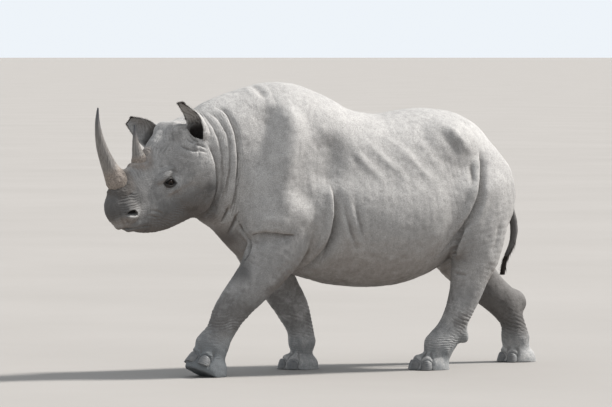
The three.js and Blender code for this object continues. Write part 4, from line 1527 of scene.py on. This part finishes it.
class Graph:
    """A procedural material around one Principled shader."""

    def __init__(self, name, **sockets):
        self.material = bpy.data.materials.new(name)
        self.material.use_nodes = True
        self.tree = self.material.node_tree
        self.tree.nodes.clear()
        self.shader = self.node("ShaderNodeBsdfPrincipled")
        out = self.node("ShaderNodeOutputMaterial")
        self.tree.links.new(self.shader.outputs[0], out.inputs[0])
        self.place = self.node("ShaderNodeTexCoord").outputs["Object"]
        for socket, value in sockets.items():
            self.shader.inputs[socket.replace("_", " ")].default_value = value

    def node(self, kind, **settings):
        made = self.tree.nodes.new(kind)
        for key, value in settings.items():
            setattr(made, key, value)
        return made

    def set(self, socket, value):
        if isinstance(value, bpy.types.NodeSocket):
            self.tree.links.new(value, socket)
        else:
            socket.default_value = value

    def noise(self, scale, detail=4.0, rough=0.55, warp=0.0, place=None):
        n = self.node("ShaderNodeTexNoise")
        self.set(n.inputs["Vector"], place or self.place)
        values = {"Scale": scale, "Detail": detail, "Roughness": rough, "Distortion": warp}
        for key, value in values.items():
            n.inputs[key].default_value = value
        return n.outputs["Fac"]

    def node_colour(self, scale):
        n = self.node("ShaderNodeTexNoise")
        self.set(n.inputs["Vector"], self.place)
        n.inputs["Scale"].default_value = scale
        return n.outputs["Color"]

    def cells(self, scale, feature="F1", place=None):
        n = self.node("ShaderNodeTexVoronoi", feature=feature)
        self.set(n.inputs["Vector"], place or self.place)
        n.inputs["Scale"].default_value = scale
        return n.outputs["Distance"]

    def stretched(self, factors):
        n = self.node("ShaderNodeMapping")
        self.set(n.inputs["Vector"], self.place)
        n.inputs["Scale"].default_value = factors
        return n.outputs[0]

    def attribute(self, name):
        return self.node("ShaderNodeAttribute", attribute_name=name).outputs["Fac"]

    def times(self, a, b):
        return self.math("MULTIPLY", a, b)

    def scaled(self, a, b, c):
        """a times b, plus c."""
        return self.math("MULTIPLY_ADD", a, b, c)

    def math(self, how, *values):
        n = self.node("ShaderNodeMath", operation=how)
        for socket, value in zip(n.inputs, values):
            self.set(socket, value)
        return n.outputs[0]

    def mix(self, share, a, b):
        n = self.node("ShaderNodeMix", data_type="RGBA")
        self.set(n.inputs["Factor"], share)
        for key, value in (("A", a), ("B", b)):
            colour = value if isinstance(value, bpy.types.NodeSocket) else (*value, 1)
            self.set([s for s in n.inputs if s.name == key and s.type == "RGBA"][0], colour)
        return [s for s in n.outputs if s.type == "RGBA"][0]

    def steps(self, value, *stops):
        """A ramp through (place, grey) or (place, colour) stops."""
        n = self.node("ShaderNodeValToRGB")
        self.set(n.inputs["Fac"], value)
        for i, (where, colour) in enumerate(stops):
            e = n.color_ramp.elements[i] if i < 2 else n.color_ramp.elements.new(where)
            e.position = where
            e.color = (*colour, 1) if isinstance(colour, tuple) else (colour, colour, colour, 1)
        return n.outputs["Color"]

    def bump(self, height, depth):
        """depth is the height of the bumps in metres."""
        n = self.node("ShaderNodeBump")
        n.inputs["Distance"].default_value = depth
        self.set(n.inputs["Height"], height)
        return n.outputs["Normal"]

    def finish(self, colour=None, roughness=None, normal=None):
        for key, value in (("Base Color", colour), ("Roughness", roughness), ("Normal", normal)):
            if value is not None:
                self.set(self.shader.inputs[key], value)
        return self.material


def hide_material():
    """Grey hide with pale dusty powder, brown muddy patches and a net of cracks, with painted light on
    lit parts, painted shade in hollows, creases and cracks and on shaded parts, a painted blue sky
    shade on the feet and painted brown bounce light under the belly.
    """
    g = Graph("hide", Specular_IOR_Level=0.3)
    shade, painted_blue_shade, dust, mud_and_painted_bounce, dark, crust, fold = (
        g.attribute(name) for name in ("shade", "painted_blue_shade", "dust", "mud_and_painted_bounce", "dark", "crust", "fold"))
    blotch = g.noise(4, 5, 0.6)
    mottle = g.noise(26, 5, 0.65, 0.4)
    grain = g.noise(210, 3, 0.7)
    base = g.mix(g.steps(blotch, (0.35, 0), (0.68, 1)), (0.235, 0.23, 0.225), (0.33, 0.32, 0.31))
    # Darker grey for that painted shade and for the lower legs.
    grey = g.mix(shade, base, (0.15, 0.152, 0.155))
    # Bluish grey for the painted sky shade on the feet.
    slate = g.mix(painted_blue_shade, grey, (0.145, 0.16, 0.17))
    # Brown for the muddy patches and for the painted bounce light under the belly.
    brown = g.mix(mud_and_painted_bounce, slate, (0.215, 0.185, 0.165))
    # Pale powder where this map is high: dust, and painted light. Painted shade lowers it.
    powder = g.times(dust, g.steps(mottle, (0.32, 0.4), (0.66, 1)))
    pale = g.mix(powder, brown, (0.47, 0.455, 0.44))
    fleck = g.mix(g.steps(grain, (0.36, 0.3), (0.54, 0)), pale, (0.11, 0.1, 0.095))
    crusted = g.times(crust, g.steps(mottle, (0.35, 0.35), (0.6, 0.9)))
    dusted = g.mix(crusted, fleck, (0.24, 0.205, 0.18))
    # Darker in the skin's valleys: painted shade.
    creased = g.mix(g.times(fold, 0.6), dusted, (0.12, 0.105, 0.095))
    # Near black for the painted shade in hollows and folds and for the darker marks.
    colour = g.mix(dark, creased, (0.014, 0.011, 0.010))
    warped = g.node("ShaderNodeVectorMath", operation="MULTIPLY_ADD")
    g.set(warped.inputs[0], g.node_colour(18))
    warped.inputs[1].default_value = (0.02, 0.02, 0.02)
    g.set(warped.inputs[2], g.place)
    cracks = g.steps(g.cells(120, "DISTANCE_TO_EDGE", warped.outputs[0]), (0.0, 0), (0.2, 1))
    pebble = g.steps(g.cells(330), (0.0, 1), (0.75, 0))
    # Painted shade in the net of cracks.
    shaded_cracks = g.mix(g.steps(cracks, (0.0, 0.3), (0.9, 0)), colour, (0.07, 0.065, 0.06))
    height = g.scaled(cracks, 0.32, g.times(pebble, 0.3))
    height = g.scaled(mottle, 0.9, height)
    rough = g.scaled(mottle, 0.2, 0.68)
    return g.finish(shaded_cracks, rough, g.bump(height, 0.0017))


def horn_material():
    g = Graph("horn", Specular_IOR_Level=0.55)
    fibre = g.noise(1.0, 6, 0.7, 0.3, g.stretched((160, 160, 9)))
    foot, lit = g.attribute("foot"), g.attribute("worn")
    base = g.mix(g.steps(fibre, (0.35, 0), (0.7, 1)), (0.085, 0.077, 0.07), (0.25, 0.231, 0.214))
    tip = g.mix(lit, base, (0.045, 0.045, 0.05))
    crumbs = g.steps(g.noise(130, 5, 0.75), (0.35, 0), (0.62, 1))
    crust = g.mix(crumbs, (0.12, 0.1, 0.085), (0.29, 0.245, 0.21))
    dusty = g.mix(g.steps(foot, (0.1, 0), (0.8, 1)), tip, crust)
    height = g.scaled(g.noise(160, 5, 0.75), foot, g.times(fibre, 0.6))
    rough = g.scaled(foot, 0.4, 0.38)
    return g.finish(dusty, rough, g.bump(height, 0.0022))


def nail_material():
    g = Graph("nail", Specular_IOR_Level=0.4)
    lines = g.noise(1.0, 4, 0.6, 0.2, g.stretched((30, 30, 260)))
    dusty = g.steps(g.noise(45, 5, 0.65), (0.35, 0), (0.7, 1))
    base = g.mix(g.steps(lines, (0.35, 0), (0.7, 1)), (0.075, 0.08, 0.085), (0.14, 0.142, 0.145))
    colour = g.mix(g.times(dusty, 0.6), base, (0.21, 0.2, 0.19))
    return g.finish(colour, g.scaled(dusty, 0.3, 0.45), g.bump(lines, 0.001))


def eye_material():
    g = Graph("eye", Roughness=0.2, Coat_Weight=0.08, Coat_Roughness=0.02, Specular_IOR_Level=0.08)
    ring = g.attribute("ring")
    streak = g.noise(900, 3, 0.6)
    iris = g.mix(streak, (0.010, 0.006, 0.004), (0.022, 0.013, 0.008))
    inner = g.mix(g.steps(ring, (0.085, 1), (0.1, 0)), iris, (0.002, 0.002, 0.002))
    outer = g.mix(g.steps(ring, (0.185, 0), (0.215, 1)), inner, (0.004, 0.003, 0.003))
    return g.finish(g.mix(g.steps(ring, (0.24, 0), (0.33, 1)), outer, (0.010, 0.007, 0.006)))


def hair_material():
    g = Graph("hair", Specular_IOR_Level=0.35)
    tone = g.noise(60, 4, 0.6)
    colour = g.mix(g.steps(tone, (0.3, 0), (0.7, 1)), (0.018, 0.014, 0.012), (0.06, 0.045, 0.036))
    return g.finish(colour, g.scaled(tone, 0.25, 0.45), g.bump(g.noise(700, 2), 0.0003))


def floor_material():
    g = Graph("floor", Specular_IOR_Level=0.1)
    tone = g.noise(0.35, 6, 0.6)
    colour = g.mix(g.steps(tone, (0.3, 0), (0.7, 1)), (0.26, 0.246, 0.232), (0.283, 0.268, 0.254))
    return g.finish(colour, g.scaled(tone, 0.1, 0.85))


# ---------- pieces


def closed_piece(name, rings, material):
    """A closed object over rings of points in millimetres."""
    points, tris = closed_tube(rings)
    return mesh_object(name, metres(points), tris, [material])


def add_attribute(ob, name, values):
    layer = ob.data.attributes.new(name, "FLOAT", "POINT")
    layer.data.foreach_set("value", np.asarray(values, np.float32))


SIDE_NAMES = {1: "left", -1: "right"}


def eye(side, material, rows=64, columns=72):
    """An eyeball looking ahead and out, with a raised cornea."""
    polar = np.linspace(0, np.pi, rows)[:, None]
    around = circle(columns)[None, :]
    cornea = 1.1 * np.exp(-((polar / 0.5) ** 4))
    r = EYE_RADIUS - 1 + cornea + 0 * around
    beside = r * np.sin(polar)
    ball = np.stack([r * np.cos(polar), beside * np.cos(around), beside * np.sin(around)], -1)
    look = Matrix.Rotation(math.radians(-14), 4, "Z") @ Matrix.Rotation(math.radians(4), 4, "Y")
    ball = moved(ball, look)
    ball[..., 0] *= side
    centre = EYE * (side, 1, 1)
    ob = closed_piece(f"eye_{SIDE_NAMES[side]}_ball", from_head(ball + centre), material)
    ring = np.repeat(polar[:, 0] / np.pi, columns)
    add_attribute(ob, "ring", np.r_[ring, 0, 1])
    return ob


# Three points of each horn's curve in the head's frame. Its radii across and along the head are
# (at the tip, more at the foot, power), with a flare of (more, up to which share of the length).
# Then the shares of the length over which the crumbling collar reaches and the foot is drawn in.
HORNS = {
    "front": {
        "base": (0, -218, 100), "bend": (0, -270, 385), "tip": (0, -140, 550),
        "radii": ((4, 50, 1.05), (4, 52, 1.05)), "flare": ((22, 0.32), (28, 0.32)),
        "collar": 0.2, "sunk": 0.12,
    },
    "rear": {
        "base": (0, -44, 110), "bend": (0, -42, 228), "tip": (0, 28, 346),
        "radii": ((3, 42, 1.1), (3, 48, 1.1)), "flare": ((30, 0.5), (34, 0.5)),
        "collar": 0.3, "sunk": 0.2,
    },
}


def horn(name, spec, material, rings=190, around=110):
    """Fibres with growth rings along a curve, and a crumbling collar at the foot."""
    t = np.linspace(0, 1, rings)
    base, bend, tip = (np.array(spec[k], float) for k in ("base", "bend", "tip"))
    w = t[:, None]
    centre = (1 - w) ** 2 * base + 2 * w * (1 - w) * bend + w**2 * tip
    along = 2 * (1 - w) * (bend - base) + 2 * w * (tip - bend)
    fore = np.cross(unit(along), LEFT)
    sizes = []
    for (end, grow, power), (foot, rise) in zip(spec["radii"], spec["flare"]):
        sizes.append(end + grow * (1 - t) ** power + foot * np.maximum(0, 1 - t / rise) ** 2)
    a = circle(around)
    shape = np.stack([np.cos(a), np.sin(a)], 1)
    collar = ramp(-t, -spec["collar"] - 0.12, -spec["collar"] + 0.06)
    pin = np.minimum(1, (1 - t) * 30)
    root = np.sqrt(ramp(t, -0.08, spec["sunk"]))[:, None]
    cell = np.stack(np.broadcast_arrays(
        60 * np.cos(a)[None], 60 * np.sin(a)[None], 500 * t[:, None]), -1)
    flat = cell.reshape(-1, 3)
    fibres = noise(flat * (1, 1, 0.06), 5.0, 3) + 0.6 * noise(flat * (1, 1, 0.12), 2.6, 5)
    rings_of = noise(flat * (0.15, 0.15, 1), 16, 4)
    lumps = noise(flat, 15, 6) + 0.7 * noise(flat * (1, 1, 0.5), 7, 7) + 0.4 * noise(flat, 3.5, 8)
    grow = (0.9 * fibres + 0.7 * rings_of).reshape(rings, around) * (0.4 + 0.6 * (1 - t))[:, None]
    grow += collar[:, None] * (2.6 * lumps.reshape(rings, around) - 1.0)
    grow *= pin[:, None]
    radius_side = np.maximum(sizes[0][:, None] + grow, 1.0) * root
    radius_fore = np.maximum(sizes[1][:, None] + grow, 1.0) * root
    ring = (
        centre[:, None]
        + LEFT * (shape[:, 0] * radius_side)[..., None]
        + fore[:, None] * (shape[:, 1] * radius_fore)[..., None]
    )
    ob = closed_piece(f"horn_{name}_keratin", from_head(ring), material)
    add_attribute(ob, "foot", np.r_[np.repeat(collar, around), 1, 0])
    add_attribute(ob, "worn", np.r_[np.repeat(ramp(t, 0.62, 0.98), around), 0, 1])
    return ob


NAIL_PLACES = {"inner": -1, "middle": 0, "outer": 1}  # the toe, counted outwards on the left


def signed_power(v, power):
    return np.sign(v) * np.abs(v) ** power


def nail(leg, place, material, rows=60, columns=84):
    """A broad worn plate with an arched top, thicker at the ground."""
    side = 1 if leg.endswith("left") else -1
    k = NAIL_PLACES[place] * side
    wide, tall = NAIL_SIZES[abs(k)]
    size = FEET[leg][4]
    polar = np.linspace(0, np.pi, rows)[:, None]
    around = circle(columns)[None, :]
    girth = signed_power(np.sin(polar), np.where(polar > np.pi / 2, 0.3, 0.62))
    across = signed_power(np.cos(around), 0.62) * girth
    up = signed_power(np.cos(polar), 0.8) + 0 * around
    depth = signed_power(np.sin(around), 0.8) * girth
    v = (up + 1) / 2
    flat = np.stack([across * 60, up * 60, depth * 20], -1).reshape(-1, 3)
    lines = np.sin(v * tall / 1.9 + 1.5 * noise(flat, 30, 9).reshape(v.shape)) * 0.35
    chips = noise(flat, 11, 11).reshape(v.shape) * ramp(-v, -0.35, 0) * 1.6
    x = across * wide * (1 - 0.2 * v)
    z = 1 + tall * v * (1 - NAIL_ARCH * across**2)
    front = 119 + 17 * (1 - v) ** 1.1 - 15 * across**2 + (lines + chips) * (depth < 0)
    y = -front + 11 * (1 + depth)
    p = np.stack([x, y, z], -1) * size
    p = moved(p, Matrix.Rotation(math.radians(k * TOE_TURN), 4, "Z"))
    p = moved(p, foot_frame(leg))
    p[..., 2] = np.maximum(p[..., 2], 3)
    return closed_piece(f"nail_{leg}_{place}_horn", p, material)


def strands(name, path, width, uv, material):
    """Bristles: path (N, steps, 3) from the root on, width (N,), uv (N, 2)."""
    count, steps = path.shape[:2]
    along = unit(np.gradient(path, axis=1))
    help_axis = np.where(np.abs(along[..., 2:]) > 0.9, (1.0, 0, 0), (0, 0, 1.0))
    u = unit(np.cross(along, help_axis))
    v = np.cross(along, u)
    taper = (1 - np.linspace(0, 1, steps) ** 2 * 0.85)[None, :, None]
    rings = []
    for q in range(3):
        angle = 2 * np.pi * q / 3
        out = (u * math.cos(angle) + v * math.sin(angle)) * width[:, None, None]
        rings.append(path + out * taper / 2)
    rings = np.stack(rings, 2)
    base = (np.arange(count) * steps * 3)[:, None]
    local = triangles_of(grid_faces(steps, 3))
    end = (steps - 1) * 3
    local = np.vstack([local, [[1, 0, 2]], [[end, end + 1, end + 2]]])
    tris = (base[:, :, None] + local[None]).reshape(-1, 3)
    points = rings.reshape(-1, 3)
    if volume(points - points.mean(0), tris) < 0:
        tris = tris[:, ::-1]
    ob = mesh_object(name, metres(points), tris, [material])
    patch = np.stack(np.meshgrid(np.linspace(0, 1, steps), (0, 0.5, 1), indexing="ij"), -1)
    spot = uv[:, None, None, :] + (patch[None] - 0.5) * 0.003
    layer = ob.data.uv_layers.new(name="OFBake")
    loops = np.empty(len(ob.data.loops), np.int32)
    ob.data.loops.foreach_get("vertex_index", loops)
    layer.data.foreach_set("uv", spot.reshape(-1, 2)[loops].astype(np.float32).ravel())
    return ob


def bent(root, lean, bend, length, steps):
    """Paths from the roots, leaning one way and bending another."""
    s = np.linspace(0, 1, steps)[None, :, None]
    return root[:, None] + (lean[:, None] * s + bend[:, None] * s**2) * length[:, None, None]


TAIL_LINE = [
    (0, 820, 1230), (0, 945, 1130), (0, 1002, 960), (0, 1058, 800),
    (0, 1056, 700), (0, 1008, 600), (0, 990, 530),
]
TUFT_FROM = 0.62  # where along the tail the tuft starts


def tail_tuft(material, count=1100):
    """Bristles round the tail's end."""
    t = RNG.uniform(TUFT_FROM, 0.99, count)
    spine = catmull(TAIL_LINE, t)
    ahead = unit(catmull(TAIL_LINE, t + 0.01) - catmull(TAIL_LINE, t - 0.01))
    angle = RNG.uniform(0, 2 * np.pi, count)
    over = np.cross(ahead, LEFT)
    core = 12 - 8 * t[:, None] ** 4
    out = LEFT * np.cos(angle)[:, None] * 1.1 + over * np.sin(angle)[:, None] * 0.75
    root = spine + out * core
    length = RNG.uniform(24, 62, count) * np.interp(t, (TUFT_FROM, 0.9, 1), (0.7, 1, 0.8))
    down = np.array([0, 0.05, -1.0])
    lean = ahead * 0.8 + down * 0.3 + out * RNG.uniform(0.05, 0.3, (count, 1))
    wave = RNG.normal(0, 0.07, (count, 3))
    path = bent(root, lean, wave, length, 6)
    path[..., 2] = np.maximum(path[..., 2], 505)
    uv = np.stack([0.05 + 0.4 * angle / (2 * np.pi), 0.05 + 0.4 * t], 1)
    return strands("tail_tuft_hair", path, RNG.uniform(1.5, 2.8, count), uv, material)


def ear_fringe(name, spec, material, count=3200):
    """Short bristles along the rim of an ear, thickest at its tip."""
    place = ear_frame(spec)
    on_top = RNG.uniform(size=count) < 0.55
    rim = np.where(RNG.uniform(size=count) < 0.5, -1.0, 1.0)
    t = np.where(on_top, RNG.uniform(0.955, 1.0, count), RNG.uniform(0.35, 1.0, count) ** 0.6)
    a = np.where(on_top, RNG.uniform(-1, 1, count), rim * RNG.uniform(0.9, 1.0, count))
    wall = ear_section(spec, t)[3]
    root = ear_point(spec, t, a, wall * RNG.uniform(0.2, 0.8, count))
    outward = unit(root - ear_point(spec, t, a, wall + 60))
    up = np.where(on_top[:, None], (0, 0, 1.0), (0, -0.2, 0.9))
    edge = np.where(on_top[:, None], outward * 0.25, outward * 0.4)
    lean = unit(up + edge + RNG.normal(0, 0.14, (count, 3)))
    length = RNG.uniform(4, 12, count)
    bend = RNG.normal(0, 0.3, (count, 3)) + (0, -0.45, -0.1)
    path = bent(root, lean, bend, length, 7)
    uv = np.stack([0.5 + 0.4 * (a + 1) / 2, 0.05 + 0.4 * t], 1)
    if name == "right":
        uv[:, 1] += 0.45
    width = RNG.uniform(0.6, 1.1, count)
    return strands(f"ear_{name}_fringe", moved(path, place), width, uv, material)


# ---------- stage

# The camera's place in metres and its lens in millimetres, fitted to the photo's outline.
CAMERA_TURN, CAMERA_DIP = math.radians(64), math.radians(1.807)
CAMERA_DISTANCE, CAMERA_ASIDE, CAMERA_HEIGHT = 26.0, -0.2155, 1.74
CAMERA_LENS = 276.8
FLOOR_RADIUS, FLOOR_SIDES = 3000.0, 96
SUN_RIGHT, SUN_NEAR, SUN_UP = 0.64, -0.2, 0.74
SUN_STRENGTH, SUN_SPREAD, SUN_COLOUR = 6.6, math.radians(8), (1.0, 0.975, 0.94)
SKY_STRENGTH, SKY_COLOUR = 0.95, (0.90, 0.95, 1.0, 1)


def stage(floor_look):
    """The photo's camera, a low sun from its right, a pale sky and a plain floor."""
    right = Vector((math.cos(CAMERA_TURN), math.sin(CAMERA_TURN), 0))
    back = Vector((math.sin(CAMERA_TURN), -math.cos(CAMERA_TURN), 0))
    data = bpy.data.cameras.new("camera")
    data.lens, data.clip_end = CAMERA_LENS, 2 * FLOOR_RADIUS
    camera = bpy.data.objects.new("camera", data)
    camera.location = right * CAMERA_ASIDE + back * CAMERA_DISTANCE + Vector(SHIFT)
    camera.location.z = CAMERA_HEIGHT + SHIFT[2]
    camera.rotation_euler = (math.pi / 2 - CAMERA_DIP, 0, CAMERA_TURN)
    sun_data = bpy.data.lights.new("sun", "SUN")
    sun_data.energy, sun_data.angle, sun_data.color = SUN_STRENGTH, SUN_SPREAD, SUN_COLOUR
    sun = bpy.data.objects.new("sun", sun_data)
    towards = right * SUN_RIGHT + back * SUN_NEAR + Vector((0, 0, SUN_UP))
    sun.rotation_euler = towards.to_track_quat("Z", "Y").to_euler()
    for ob in (camera, sun):
        bpy.context.scene.collection.objects.link(ob)
    bpy.context.scene.camera = camera
    world = bpy.data.worlds.new("world")
    world.use_nodes = True
    sky = world.node_tree.nodes["Background"]
    sky.inputs["Color"].default_value = SKY_COLOUR
    sky.inputs["Strength"].default_value = SKY_STRENGTH
    bpy.context.scene.world = world
    bpy.context.scene.view_settings.view_transform = "Standard"
    a = circle(FLOOR_SIDES)
    rim = np.stack([FLOOR_RADIUS * np.cos(a), FLOOR_RADIUS * np.sin(a), 0 * a], 1)
    i = np.arange(FLOOR_SIDES)
    tris = np.stack([np.full(FLOOR_SIDES, FLOOR_SIDES), i, (i + 1) % FLOOR_SIDES], 1)
    floor = mesh_object("floor", np.vstack([rim, (0, 0, 0)]), tris, [floor_look])
    floor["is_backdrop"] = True


# ---------- the whole animal

SKIN_NODES = [
    "head", "lower_jaw", "ear_left", "ear_right", "neck", "shoulders", "barrel", "hindquarters", "tail",
]
LIMB_NODES = ("forearm", "fore_cannon", "forefoot", "thigh", "shank", "hind_cannon", "hindfoot")
for name in SIDE_NAMES.values():
    SKIN_NODES += [f"{part}_{name}" for part in LIMB_NODES]


def dressed(piece, slot, *nodes):
    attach(piece, "root")
    if nodes:
        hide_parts(*nodes)
    return piece


hide, keratin, toe, wet, bristle = (
    hide_material(), horn_material(), nail_material(), eye_material(), hair_material())
surface, *marks = sculpted()
skin = mesh_object("skin", metres(surface.points), surface.tris, [hide])
for name, values in hide_maps(surface, *marks).items():
    add_attribute(skin, name, values)
dressed(skin, "skin", *SKIN_NODES)
for side, name in SIDE_NAMES.items():
    dressed(eye(side, wet), "eye", f"eye_{name}")
for name, spec in HORNS.items():
    dressed(horn(name, spec, keratin), "horn", f"horn_{name}")
for leg in FEET:
    for place in NAIL_PLACES:
        dressed(nail(leg, place, toe), "nail", f"nail_{leg}_{place}")
dressed(tail_tuft(bristle), "hair", "tail_tuft")
for name, spec in EARS.items():
    dressed(ear_fringe(name, spec, bristle), "hair")

stage(floor_material())
({name: [list(corner) for corner in box] for name, box in (
    ("cad", CAD_BOX), ("visual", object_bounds()))})
